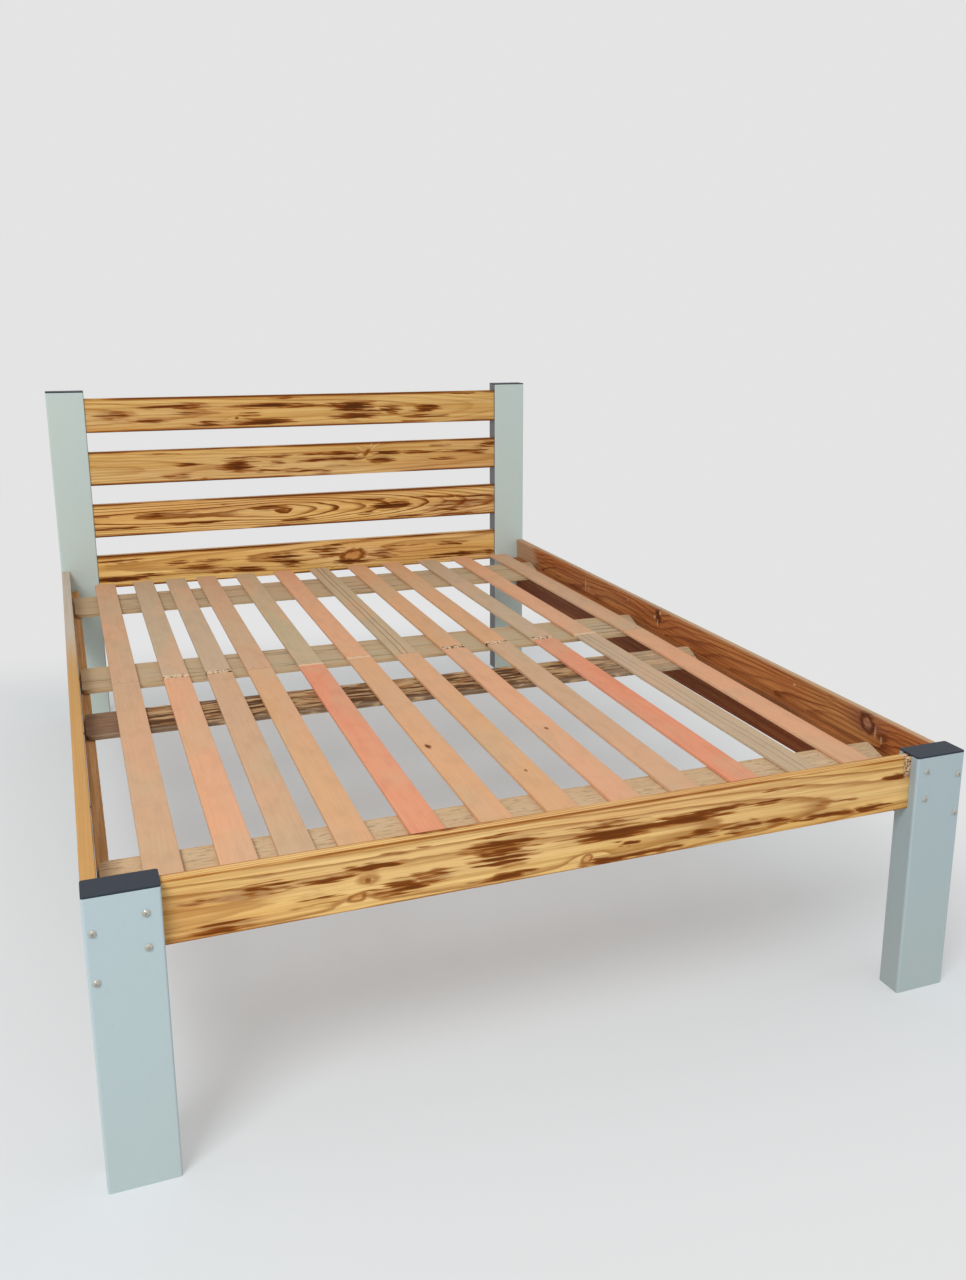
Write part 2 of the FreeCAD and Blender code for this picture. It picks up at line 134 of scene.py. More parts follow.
FIGURES = {
    "headboard_top_board": Figure((-900, 55, 0), 0.020, 4.5, 0.60, 1.3, 1.03),
    "headboard_upper_board": Figure((-700, 62, -8), 0.012, 4.5, 0.55, 4.1, 1.03),
    "headboard_lower_board": Figure((-60, 40, 4), 0.045, 3.6, 1.80, 7.7, 1.17),
    "headboard_bottom_board": Figure((950, 52, 12), 0.090, 5.0, 0.70, 9.2, 1.20),
    "foot_rail": Figure((-1200, 85, -10), 0.010, 5.0, 1.10, 12.6, 1.16, 0.20, 0.45, 0.45),
}

# Torch burns on the boards' front faces
BURNS = {
    "headboard_top_board": (
        (-545, 52, 42, 12, 0.42), (-430, 68, 60, 4, 0.55), (-345, 70, 45, 5, 0.80),
        (-100, 66, 75, 5, 0.85), (10, 62, 60, 4, 0.45), (-330, 48, 45, 4, 0.45),
        (-440, 28, 35, 7, 0.45), (-280, 16, 30, 6, 0.75), (-130, 18, 58, 7, 0.90),
        (-150, 42, 25, 5, 0.40), (160, 56, 40, 14, 1.00), (110, 62, 35, 5, 0.60),
        (150, 28, 55, 9, 0.65), (200, 40, 25, 14, 0.50), (275, 47, 22, 11, 0.70),
        (385, 46, 30, 10, 0.50), (400, 22, 70, 4, 0.45), (500, 90, 40, 4, 0.40),
        (-40, 88, 35, 3, 0.50), (350, 4, 40, 4, 0.50),
    ),
    "headboard_upper_board": (
        (-430, 84, 40, 3, 0.45), (-345, 50, 35, 4, 0.50), (-375, 16, 30, 5, 0.60),
        (-195, 42, 32, 12, 0.90), (-85, 45, 18, 7, 0.65), (-150, 66, 60, 3, 0.50),
        (-75, 66, 30, 4, 0.60), (-90, 22, 60, 3, 0.45), (20, 16, 50, 3, 0.50),
        (60, 12, 22, 5, 0.65), (20, 66, 30, 3, 0.45), (120, 65, 40, 5, 0.75),
        (40, 48, 40, 5, 0.60), (125, 49, 45, 5, 0.85), (100, 30, 40, 3, 0.40),
        (255, 62, 30, 5, 0.75), (240, 43, 25, 9, 0.75), (370, 62, 50, 5, 0.45),
        (430, 78, 30, 4, 0.45), (500, 60, 45, 4, 0.50), (450, 36, 35, 5, 0.40),
        (560, 58, 30, 8, 0.40), (605, 78, 25, 6, 0.60),
    ),
    "headboard_lower_board": (
        (-450, 57, 28, 5, 0.75), (-390, 60, 50, 2.5, 0.50), (-290, 68, 50, 2.5, 0.40),
        (-255, 79, 20, 3, 0.60), (-340, 46, 40, 3, 0.45), (-330, 27, 70, 2.5, 0.60),
        (-560, 24, 70, 3, 0.60), (-600, 62, 20, 4, 0.45), (-110, 60, 50, 8, 0.45),
        (-30, 20, 40, 4, 0.50), (-60, 3, 50, 4, 0.50), (270, 45, 45, 9, 0.70),
        (200, 70, 35, 4, 0.55), (190, 26, 30, 4, 0.40), (450, 26, 60, 4, 0.70),
        (520, 42, 75, 9, 0.75), (560, 62, 60, 4, 0.65), (400, 66, 60, 3, 0.60),
        (330, 10, 60, 3, 0.50), (470, 8, 60, 3, 0.50),
    ),
    "headboard_bottom_board": (
        (-560, 25, 60, 5, 0.85), (-470, 30, 25, 4, 0.60), (-560, 78, 60, 6, 0.40),
        (-390, 62, 25, 6, 0.50), (-330, 38, 50, 12, 0.45), (-280, 28, 60, 5, 0.50),
        (-300, 60, 50, 5, 0.45), (-180, 25, 40, 8, 0.65), (-75, 55, 35, 9, 0.80),
        (-55, 36, 22, 10, 0.95), (50, 70, 35, 7, 0.70), (90, 82, 20, 4, 0.50),
        (125, 28, 24, 5, 0.70), (240, 45, 26, 14, 0.60), (470, 63, 35, 6, 0.65),
        (500, 25, 70, 6, 0.70), (420, 20, 30, 4, 0.50), (600, 25, 20, 8, 0.60),
        (320, 65, 60, 2.5, 0.40), (150, 25, 38, 5, 0.85), (75, 52, 30, 4, 0.60),
    ),
    "foot_rail": (
        (-570, 55, 28, 4, 0.60), (-485, 57, 27, 7, 1.00), (-480, 76, 22, 3, 0.41),
        (-400, 56, 32, 4, 0.59), (-330, 65, 32, 4, 0.63), (-300, 78, 30, 3, 0.45),
        (-540, 12, 36, 6, 0.77), (-284, 26, 28, 11, 0.60), (-236, 32, 24, 8, 0.54),
        (-130, 65, 36, 7, 0.85), (-125, 44, 32, 11, 0.81), (-122, 9, 32, 5, 0.68),
        (-140, 78, 25, 3, 0.40), (40, 67, 45, 4, 0.63), (50, 50, 60, 9, 0.63),
        (80, 30, 14, 6, 0.45), (40, 8, 30, 5, 0.72), (100, 9, 50, 4, 0.54),
        (190, 54, 50, 6, 0.68), (240, 60, 50, 4, 0.54), (330, 57, 40, 4, 0.36),
        (210, 20, 30, 6, 0.54), (290, 22, 30, 8, 0.63), (150, 12, 40, 4, 0.45),
        (350, 20, 25, 5, 0.54), (450, 17, 40, 6, 0.68), (470, 38, 30, 4, 0.36),
        (540, 15, 20, 6, 0.54), (595, 64, 25, 5, 0.59), (360, 76, 40, 3, 0.32),
        (-415, 30, 34, 12, 0.27), (-500, 54, 40, 6, 0.75),
    ),
}

# Dark knots
KNOTS = {
    "headboard_top_board": ((-197, 31, 8, 7, 1.0),),
    "headboard_upper_board": ((-300, 5, 15, 9, 0.7), (195, 66, 11, 16, 1.0, 0.7)),
    "foot_rail": ((-336, 44, 7, 5, 0.8),),
    "side_rail_right": ((15, 143, 21, 25, 1.0, 0.2), (-872, 128, 24, 14, 0.7, -0.5)),
    "side_rail_left": ((-640, 60, 18, 12, 0.8), (310, 110, 15, 10, 0.7)),
    "foot_slat_06": ((-99, 19, 16, 6, 1.0),),
    "foot_slat_07": ((-269, 30, 8, 4, 0.8),),
    "foot_slat_08": ((-89, 32, 10, 5, 0.9),),
}

# Ringed knots with a paler heart
EYES = {
    "headboard_bottom_board": ((140, 44, 30, 17, 1.0, 0.5),),
    "foot_rail": ((-352, 20, 11, 6, 0.7, 0.3), (8, 15, 8, 6, 0.7, 0.5)),
    "side_rail_right": ((-825, 142, 17, 14, 1.0, 0.3),),
}

# Pale scars, specks and rays round a knot
SCARS = {
    "headboard_upper_board": (
        (222, 84, 4, 13, 0.9, 1.3), (208, 87, 3, 9, 0.7, 0.5), (172, 79, 4, 12, 0.7, -1.0),
        (170, 58, 4, 10, 0.7, 1.2), (224, 64, 16, 3, 0.7), (186, 44, 4, 9, 0.6, 0.8),
    ),
    "side_rail_right": (
        (460, 128, 5, 24, 0.7), (440, 120, 4, 14, 0.5), (-585, 145, 5, 3, 0.9),
        (190, 145, 5, 3, 0.9), (6, 153, 8, 7, 1.0), (34, 138, 7, 5, 1.0),
        (18, 124, 4, 12, 0.8), (-850, 132, 3, 18, 0.6), (-868, 122, 4, 9, 0.5),
    ),
}

# Tone of each slat, from the left, the splits along some, and those torn or freshly cut at the bed's middle
SLAT_TONES = {
    "head": "tan sand sand tan olive peach olive honey honey sand peach tan".split(),
    "foot": "tan peach tan honey coral honey honey peach tan coral sand peach".split(),
}
SPLIT_SLATS = {"head_slat_07": (-0.008, 0.006), "foot_slat_11": (-0.012, 0.003)}
TORN_SLATS = ("head_slat_02", "head_slat_03", "head_slat_08", "head_slat_09", "head_slat_10")
FRESH_SLATS = ("foot_slat_05", "head_slat_06", "head_slat_11")


def marks_on(node, table):
    """A node's marks from a table."""
    return [Mark(*row) for row in table.get(node, ())]


def tint(name, description, *rgb):
    """Colour that a user can change."""
    return FloatVectorProperty(name=name, description=description, subtype="COLOR", size=3,
                               min=0.0, max=1.0, default=rgb)


def length(name, description, metres):
    """Length that a user can change."""
    return FloatProperty(name=name, description=description, unit="LENGTH", min=0.0, default=metres)


def power(name, description, watts):
    """Power of a light that a user can change."""
    return FloatProperty(name=name, description=description, unit="POWER", min=0.0, default=watts)


class BedColours(PropertyGroup):
    """Colours of the bed's finishes"""
    paint: tint("Post paint", "Pale blue-grey paint on the foot posts", 0.465, 0.570, 0.600)
    sage: tint("Head post paint", "Paler, greener paint on the head posts", 0.555, 0.655, 0.630)
    # Darker tone on the posts' inward faces; on the foot posts it is painted shade
    inner_face_tone: tint("Primer", "Dark primer left on the inner faces of the head posts", 0.110, 0.110, 0.120)
    cap: tint("Caps", "Charcoal plastic of the post caps", 0.022, 0.029, 0.044)
    pine: tint("Pine", "Varnished early wood of the scorched boards", 0.850, 0.570, 0.215)
    amber: tint("Amber", "Varnished late wood of the scorched boards", 0.590, 0.300, 0.058)
    toast: tint("Toast", "Lightly scorched wood", 0.355, 0.112, 0.012)
    burnt: tint("Burnt", "Burnt wood", 0.190, 0.044, 0.004)
    char: tint("Char", "Charred wood", 0.085, 0.024, 0.005)
    haze: tint("Haze", "Purplish smoke stain round the burns", 0.210, 0.066, 0.042)
    russet: tint("Russet", "Reddish patches of the scorched boards", 0.640, 0.290, 0.088)
    straw: tint("Straw", "Pale patches of the scorched boards", 0.815, 0.570, 0.280)
    rail: tint("Red rail", "Stained pine of the right side rail", 0.560, 0.188, 0.050)
    rail_late: tint("Red rail grain", "Dark grain of the right side rail", 0.190, 0.046, 0.012)
    rail_top: tint("Rail top", "Pale top edge of the right side rail", 0.600, 0.420, 0.245)
    gold: tint("Golden rail", "Pine of the left side rail", 0.620, 0.345, 0.115)
    gold_late: tint("Golden rail grain", "Dark grain of the left side rail", 0.430, 0.200, 0.062)
    bleached: tint("Bleached rail", "Greyed wood at the left rail's head end", 0.570, 0.530, 0.455)
    dry: tint("Dry rail", "Dry wood at the right rail's head end", 0.520, 0.325, 0.190)
    ledger: tint("Ledger", "Brown strips under the cross boards", 0.800, 0.470, 0.215)
    sawn: tint("Sawn pine", "Pale raw wood of the cross boards", 0.740, 0.545, 0.345)
    weathered: tint("Weathered pine", "Greyed raw wood of the head and mid cross boards", 0.560, 0.450, 0.295)
    bark: tint("Bark", "Dark streaks of the low cross board", 0.110, 0.045, 0.018)
    husk: tint("Husk", "Tan wood between the dark streaks", 0.600, 0.385, 0.185)
    # A greyish brown that darkens the low cross board's left end
    dark_tone: tint("Stain", "Dark stain on the low cross board's left end", 0.270, 0.160, 0.100)
    tan: tint("Tan slats", "Raw tan slats", 0.680, 0.425, 0.255)
    honey: tint("Honey slats", "Raw yellow-tan slats", 0.765, 0.430, 0.220)
    peach: tint("Peach slats", "Raw pale orange slats", 0.830, 0.430, 0.240)
    coral: tint("Coral slats", "Raw reddish slats", 0.860, 0.310, 0.170)
    sand: tint("Sand slats", "Raw grey-beige slats", 0.600, 0.455, 0.300)
    olive: tint("Olive slats", "Raw grey-green slats", 0.590, 0.465, 0.285)
    rose: tint("Rose slats", "Raw pinkish slats", 0.680, 0.420, 0.300)
    cream: tint("Fresh cuts", "Fresh wood at torn and newly sawn ends", 0.840, 0.600, 0.380)
    brass: tint("Dull heads", "Dull yellowed paint of the dome heads", 0.380, 0.370, 0.300)
    zinc: tint("Zinc", "Plated nuts, nails and screws", 0.550, 0.550, 0.540)


class BedShapes(PropertyGroup):
    """Sizes of the detail on the bed's wood"""
    skin: length("Skin", "How far the finished wood stays inside its squared size", 0.0002)
    board_easing: length("Board easing", "Rounding of the boards' and rails' long edges", 0.0016)
    slat_easing: length("Slat easing", "Rounding of the slats' long edges", 0.0009)
    brushing: length("Brushing", "Depth of the hollows in the scorched and planed faces", 0.0004)
    sawing: length("Sawing", "Depth of the hollows in rough sawn faces", 0.0009)
    knot_rise: length("Knot rise", "How far a knot stands out of or sinks into its face", 0.0008)
    nut_hole: length("Nut holes", "Diameter of the nut holes in the side rails", 0.0102)
    corner: length("Board corners", "Rounding of the cross boards' corners", 0.012)
    slant: length("Slanted ends", "How much shorter the cross boards' right ends are at the foot side", 0.045)
    tear: length("Tear", "How ragged the torn slat ends are", 0.0026)
    splinters: length("Splinters", "Depth of the splinters at the foot rail's torn corner", 0.0012)


class BedStage(PropertyGroup):
    """Floor, light and camera"""
    floor: tint("Floor", "Pale floor and background", 0.775, 0.775, 0.775)
    sky: FloatProperty(name="Sky", description="Strength of the even light from all round", default=0.55)
    key: power("Key light", "Power of the main soft light", 122.0)
    fill: power("Fill light", "Power of the soft side light", 8.0)


def rgba(colour):
    """Opaque colour for a node."""
    return (*colour, 1.0)


def empty_tree(owner):
    """Emptied node tree of a material or a world."""
    owner.use_nodes = True
    owner.node_tree.nodes.clear()
    return owner.node_tree


class NodeTable:
    """Adds nodes to one tree, each to the right of the last."""

    def __init__(self, tree):
        self.tree = tree

    def put(self, socket, value):
        """Link a socket to another one, or set its value."""
        if isinstance(value, NodeSocket):
            self.tree.links.new(value, socket)
        else:
            socket.default_value = value

    def add(self, kind, inputs=None, **settings):
        """New node with its settings and its inputs, by name or number."""
        node = self.tree.nodes.new(kind)
        node.location = (NODE_STEP * len(self.tree.nodes), 0)
        for name, value in settings.items():
            setattr(node, name, value)
        for name, value in (inputs or {}).items():
            self.put(node.inputs[name], value)
        return node

    def math(self, operation, *values):
        """Result of a Math node."""
        return self.add("ShaderNodeMath", dict(enumerate(values)), operation=operation).outputs[0]

    def times(self, first, second):
        """Product of two values."""
        return self.math("MULTIPLY", first, second)

    def scaled(self, value, gain, base):
        """Value times a gain, plus a base."""
        return self.math("MULTIPLY_ADD", value, gain, base)

    def vector(self, operation, *values):
        """Result of a Vector Math node, one number for a length."""
        made = self.add("ShaderNodeVectorMath", dict(enumerate(values)), operation=operation).outputs
        return made["Value" if operation == "LENGTH" else "Vector"]

    def clamp(self, value):
        """Value kept between 0 and 1."""
        return self.add("ShaderNodeClamp", {"Value": value}).outputs[0]

    def ease(self, value, low, high):
        """Smooth step from 0 at low to 1 at high."""
        inputs = {"Value": value, "From Min": low, "From Max": high}
        return self.add("ShaderNodeMapRange", inputs, interpolation_type="SMOOTHSTEP").outputs[0]

    def noise(self, vector, stretch, seed, detail=2.0, distortion=0.0, output=0):
        """Noise whose grain has so many turns a metre along each axis."""
        inputs = {"Vector": self.vector("MULTIPLY", vector, stretch), "W": seed, "Scale": 1.0,
                  "Detail": detail, "Distortion": distortion}
        return self.add("ShaderNodeTexNoise", inputs, noise_dimensions="4D").outputs[output]

    def mix(self, factor, first, second):
        """Mixed colour."""
        return self.add("ShaderNodeMix", {0: factor, 6: first, 7: second}, data_type="RGBA").outputs[2]

    def layers(self, base, layers):
        """Base colour under layers of others, each with its strength, its mask and its colour."""
        colour = rgba(base)
        for strength, mask, over in layers:
            colour = self.mix(self.times(mask, strength), colour, rgba(over))
        return colour

    def place(self):
        """Object coordinates."""
        return self.add("ShaderNodeTexCoord").outputs["Object"]

    def attribute(self, name):
        """Value painted on the mesh."""
        return self.add("ShaderNodeAttribute", attribute_name=name).outputs["Fac"]

    def split(self, vector):
        """The three parts of a vector."""
        return self.add("ShaderNodeSeparateXYZ", {0: vector}).outputs

    def group(self, name, **inputs):
        """Outputs of a shared effect."""
        return self.add("ShaderNodeGroup", inputs, node_tree=bpy.data.node_groups[name]).outputs


def start_group(name, vectors, values, outputs):
    """Empty shader node group with named sockets: its table, its input sockets and its output sockets."""
    tree = bpy.data.node_groups.new(name, "ShaderNodeTree")
    sockets = (("INPUT", "Vector", vectors), ("INPUT", "Float", values), ("OUTPUT", "Float", outputs))
    for side, kind, names in sockets:
        for socket in names.split():
            tree.interface.new_socket(socket, in_out=side, socket_type="NodeSocket" + kind)
    table = NodeTable(tree)
    return table, table.add("NodeGroupInput").outputs, table.add("NodeGroupOutput").inputs


def make_rings_group():
    """Year rings round a tree's heart, cut by the board's faces."""
    values = "Sink Ring Wander Knot Seed"
    table, given, result = start_group("Year rings", "Vector Heart", values, "Late Tone")
    along, into, up = table.split(table.vector("SUBTRACT", given["Vector"], given["Heart"]))
    bend = table.noise(given["Vector"], (1.3, 5.0, 5.0), given["Seed"], output="Color")
    shift_in, shift_up, _ = table.split(table.vector("SUBTRACT", bend, (0.5, 0.5, 0.5)))
    distance = table.math("MAXIMUM", along, table.times(along, -0.15))
    depth = table.scaled(distance, given["Sink"], table.math("ABSOLUTE", into))
    depth = table.scaled(shift_in, given["Wander"], depth)
    height = table.scaled(shift_up, given["Wander"], up)
    square = table.scaled(height, height, table.times(depth, depth))
    count = table.math("DIVIDE", table.math("SQRT", square), given["Ring"])
    wobble = table.noise(given["Vector"], (7.0, 90.0, 90.0), given["Seed"], detail=3.0)
    count = table.math("ADD", table.scaled(wobble, 0.55, count), given["Knot"])
    share = table.math("FRACT", count)
    late = table.math("SUBTRACT", table.ease(share, 0.48, 0.90), table.ease(share, 0.92, 1.0))
    year = table.add("ShaderNodeTexWhiteNoise", {"W": table.math("FLOOR", count)}, noise_dimensions="1D")
    table.put(result["Late"], late)
    table.put(result["Tone"], year.outputs["Value"])


def make_fibre_group():
    """Fine fibres, streaks, broad bands and slow drift of tone along the grain."""
    grains = {"Fibre": (22.0, 900.0, 0.32, 0.68), "Streak": (3.0, 190.0, 0.46, 0.62),
              "Flow": (1.6, 85.0, 0.40, 0.60), "Drift": (1.7, 15.0, 0.32, 0.68)}
    table, given, result = start_group("Fibre", "Vector", "Seed", " ".join(grains))
    for name, (along, across, low, high) in grains.items():
        stretch = (along, across, across)
        grain = table.noise(given["Vector"], stretch, given["Seed"], detail=3.0, distortion=0.3)
        table.put(result[name], table.ease(grain, low, high))


def make_knot_group():
    """One knot: how far it bends the rings, its heart, the ring round it and the wood beyond."""
    table, given, result = start_group("Knot", "Vector Centre Size", "Lean Depth", "Swirl Heart Ring Lens")
    along, _, up = table.split(table.vector("SUBTRACT", given["Vector"], given["Centre"]))
    along = table.math("SUBTRACT", along, table.times(up, given["Lean"]))
    away = table.add("ShaderNodeCombineXYZ", {0: along, 2: up}).outputs[0]
    away = table.vector("DIVIDE", away, given["Size"])
    bend = table.noise(given["Vector"], (70.0, 0.0, 130.0), 3.0, output="Color")
    bend = table.vector("SUBTRACT", bend, (0.5, 0.5, 0.5))
    away = table.vector("MULTIPLY_ADD", bend, (1.1, 0.0, 1.1), away)
    reach = table.vector("LENGTH", away)
    wide = table.vector("LENGTH", table.vector("MULTIPLY", away, (0.30, 0.0, 0.62)))
    off_ring = table.math("ABSOLUTE", table.math("SUBTRACT", reach, 1.0))
    layers = {
        "Swirl": table.ease(wide, 1.9, 0.0), "Heart": table.ease(reach, 1.05, 0.35),
        "Ring": table.ease(off_ring, 0.65, 0.10), "Lens": table.ease(wide, 1.6, 0.4)}
    for name, layer in layers.items():
        table.put(result[name], table.times(layer, given["Depth"]))


def make_scorch_group():
    """How far the wood is burnt: burns frayed along the grain, charred edges and stray licks of the flame."""
    table, given, result = start_group("Scorch", "Vector", "Burn Edge Streak Late Licks Seed", "Char")
    fray = table.noise(given["Vector"], (7.0, 210.0, 210.0), given["Seed"], detail=4.0)
    fine = table.noise(given["Vector"], (16.0, 400.0, 400.0), given["Seed"])
    rough = table.scaled(table.ease(fine, 0.32, 0.68), 0.45, table.ease(fray, 0.36, 0.64))
    rough = table.scaled(given["Late"], 0.25, table.math("SUBTRACT", rough, 0.80))
    near = table.times(table.ease(given["Burn"], 0.0, 0.30), 0.80)
    burn = table.scaled(rough, near, table.times(given["Burn"], 1.1))
    patchy = table.noise(given["Vector"], (3.2, 26.0, 26.0), given["Seed"])
    edge = table.times(given["Edge"], table.ease(patchy, 0.30, 0.52))
    stray = table.noise(given["Vector"], (2.6, 50.0, 50.0), given["Seed"], distortion=0.4)
    lick = table.times(table.ease(stray, 0.50, 0.75), given["Licks"])
    lick = table.times(lick, table.scaled(given["Streak"], 0.8, 0.2))
    total = table.math("ADD", table.math("MAXIMUM", burn, edge), lick)
    table.put(result["Char"], table.clamp(total))


def make_saw_group():
    """Saw marks across the grain of a rough board."""
    table, given, result = start_group("Saw marks", "Vector", "Seed", "Marks")
    lines = table.noise(given["Vector"], (260.0, 9.0, 9.0), given["Seed"], detail=1.0)
    patches = table.noise(given["Vector"], (6.0, 14.0, 14.0), given["Seed"])
    table.put(result["Marks"], table.times(lines, table.ease(patches, 0.40, 0.65)))


class Finish(NodeTable):
    """Node table of a new material, with its shader."""

    def __init__(self, name):
        self.material = bpy.data.materials.new(name)
        super().__init__(empty_tree(self.material))
        self.shader = self.add("ShaderNodeBsdfPrincipled")
        self.add("ShaderNodeOutputMaterial", {"Surface": self.shader.outputs[0]})

    def relief(self, height, distance, strength):
        """Normals of a fine relief."""
        inputs = {"Height": height, "Distance": distance, "Strength": strength}
        return self.add("ShaderNodeBump", inputs).outputs[0]

    def shade(self, inputs):
        """Set or link the shader's inputs, and hand the material over."""
        for name, value in inputs.items():
            self.put(self.shader.inputs[name], value)
        return self.material


class Wood(Finish):
    """Finish of a wooden node whose grain runs along one axis and whose thickness lies along another."""

    def __init__(self, name, node, along, into, seed):
        super().__init__(name + "_" + node)
        self.node = node
        self.seed = seed
        self.low, self.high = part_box(node)
        turn = Matrix((UNITS[along], UNITS[into], UNITS[along].cross(UNITS[into])))
        self.across = X + Y + Z - along - into
        self.up = turn[2][self.across]
        middle = turn @ ((self.low + self.high) / 2)
        inputs = {"Vector": self.place(), "Location": -middle, "Rotation": turn.to_euler()}
        self.grain = self.add("ShaderNodeMapping", inputs).outputs[0]

    def half(self, axis):
        """Half the node's size along an axis."""
        return (self.high[axis] - self.low[axis]) / 2

    def fibres(self):
        """Fine fibres, streaks, broad bands and slow drift."""
        return self.group("Fibre", Vector=self.grain, Seed=self.seed)

    def saw_marks(self):
        """Saw marks across the grain."""
        return self.group("Saw marks", Vector=self.grain, Seed=self.seed)[0]

    def spots(self, stretch, step=0.0, **settings):
        """Noise from the wood's own seed, or from one a step away."""
        return self.noise(self.grain, stretch, self.seed + step, **settings)

    def rings(self, heart, sink, ring, wander, knot=0.0):
        """Dark late wood of the year rings, and a tone for each year."""
        return self.group("Year rings", Vector=self.grain, Heart=heart, Sink=sink, Ring=ring, Wander=wander,
                          Knot=knot, Seed=self.seed)

    def knots(self, table):
        """The node's knots from a table: bent rings, hearts, dark rings and the wood round them."""
        layers = [0.0, 0.0, 0.0, 0.0]
        for knot in marks_on(self.node, table):
            centre = (knot.along * MM, 0.0, self.up * (knot.up * MM - self.half(self.across)))
            size = (knot.length * MM, 1.0, knot.height * MM)
            made = self.group("Knot", Vector=self.grain, Centre=centre, Size=size, Lean=self.up * knot.lean,
                              Depth=knot.depth)
            layers = [self.math("MAXIMUM", old, new) for old, new in zip(layers, made)]
        return layers


def scorched_pine(node, colours):
    """Varnished pine with dark rings, knots, torch burns and, on the foot rail, a torn corner."""
    figure = FIGURES[node]
    wood = Wood("scorched", node, X, Y, figure.seed)
    fibre, streak, flow, drift = wood.fibres()
    swirl, heart, _, lens = wood.knots(KNOTS)
    eye_swirl, eye, ring, eye_lens = wood.knots(EYES)
    scars = wood.knots(SCARS)[1]
    late, year = wood.rings(heart=Vector(figure.heart) * MM, sink=figure.sink, ring=figure.ring * MM,
                            wander=0.018, knot=wood.math("MAXIMUM", swirl, eye_swirl))
    burn = wood.attribute("burn")
    char = wood.group("Scorch", Vector=wood.grain, Burn=burn, Edge=wood.attribute("edge"), Streak=streak,
                      Late=late, Licks=figure.licks, Seed=figure.seed)[0]
    dark = wood.times(late, wood.scaled(year, 0.6, 0.4))
    warm, pale, _ = wood.split(wood.spots((1.4, 11.0, 11.0), 5.0, output="Color"))
    torn = wood.attribute("torn")
    splinters = wood.spots((190.0, 260.0, 260.0), detail=3.0)
    toast, burnt = colours.toast, colours.burnt
    pine, amber, russet, straw = (Vector(tone) * figure.light for tone in (
        colours.pine, colours.amber, colours.russet, colours.straw))
    colour = wood.layers(pine, (
        (0.50, flow, amber), (0.30, drift, amber), (0.55, wood.ease(warm, 0.48, 0.66), russet),
        (0.45, wood.ease(pale, 0.44, 0.62), straw), (0.30, lens, pine), (0.40, eye_lens, straw),
        (min(figure.contrast, 1.0), dark, toast),
        (max(figure.contrast - 0.55, 0.0), wood.times(dark, dark), burnt),
        (0.30, streak, toast), (0.14, fibre, toast),
        (0.90, heart, toast), (0.65, wood.times(heart, heart), burnt),
        (0.95, ring, toast), (0.60, wood.times(ring, ring), burnt),
        (0.80, eye, russet), (0.30, wood.times(eye, eye), toast),
        (0.45, wood.ease(burn, 0.04, 0.50), colours.haze), (0.80, wood.ease(char, 0.16, 0.34), toast),
        (0.90, wood.ease(char, 0.36, 0.56), burnt), (figure.soot, wood.ease(char, 0.64, 0.95), colours.char),
        (0.70, scars, straw), (1.00, torn, colours.cream),
        (1.00, wood.times(torn, wood.ease(splinters, 0.50, 0.58)), burnt)))
    return wood.shade({
        "Base Color": colour, "Roughness": wood.scaled(char, 0.20, 0.44), "Specular IOR Level": 0.06,
        "Coat Weight": 0.02, "Coat Roughness": 0.35,
        "Normal": wood.relief(wood.scaled(late, 0.6, wood.times(fibre, 0.4)), 0.0005, 0.6)})


# A side rail's tones: its wood and dark grain, its top edge, its faded head end, where that starts and ends,
# and a seed
RailFinish = namedtuple("RailFinish", "wood late top faded start end seed")


def rail_pine(node, finish, colours):
    """Stained plank with dark rings and knots, a top edge of its own tone and a faded head end."""
    wood = Wood("pine", node, Y, X, finish.seed)
    fibre, streak, flow, drift = wood.fibres()
    swirl, heart, _, _ = wood.knots(KNOTS)
    eye_swirl, eye, ring, smear = wood.knots(EYES)
    scars = wood.knots(SCARS)[1]
    late, year = wood.rings(heart=(-1.3, 0.060, -0.015), sink=0.022, ring=0.0045, wander=0.045,
                            knot=wood.math("MAXIMUM", swirl, eye_swirl))
    dark = wood.times(late, wood.scaled(year, 0.45, 0.55))
    along, into, down = wood.split(wood.grain)
    edge = wood.attribute("edge")
    top = wood.times(edge, wood.scaled(drift, 0.25, 0.65))
    faded = wood.ease(wood.scaled(drift, 0.05, along), finish.start, finish.end)
    faded = wood.times(faded, wood.scaled(streak, -0.30, 0.90))
    # Only the right rail has a painted shade strip along the lower part of its inner face, under the slats,
    # and a golden stretch near the foot
    if node.endswith("right"):
        strip = wood.times(wood.ease(down, 0.012, 0.022), wood.ease(into, 0.0, -0.008))
        painted_shade = wood.times(strip, wood.scaled(flow, 0.45, 0.55))
        golden = wood.times(wood.ease(along, -0.56, -0.72), wood.ease(along, -0.90, -0.82))
        faded = wood.times(faded, wood.math("SUBTRACT", 1.0, strip))
    else:
        painted_shade = golden = 0.0
        faded = wood.times(faded, wood.scaled(edge, 0.75, 0.25))
    dark_tone = Vector(finish.late)
    colour = wood.layers(finish.wood, (
        (0.40, drift, colours.gold), (0.45, golden, colours.gold), (1.00, dark, dark_tone),
        (0.30, flow, dark_tone), (0.55, streak, dark_tone), (0.25, fibre, dark_tone),
        (0.50, smear, colours.haze), (0.90, heart, colours.burnt),
        (0.80, wood.times(heart, heart), colours.char), (0.95, ring, dark_tone * 0.6), (0.16, eye, colours.rose),
        (1.00, scars, finish.top), (0.90, painted_shade, dark_tone * 1.3), (1.00, top, finish.top),
        (1.00, faded, finish.faded)))
    return wood.shade({
        "Base Color": colour, "Roughness": wood.scaled(fibre, 0.12, 0.52), "Specular IOR Level": 0.15,
        "Normal": wood.relief(wood.scaled(late, 0.5, wood.times(fibre, 0.5)), 0.0005, 0.6)})


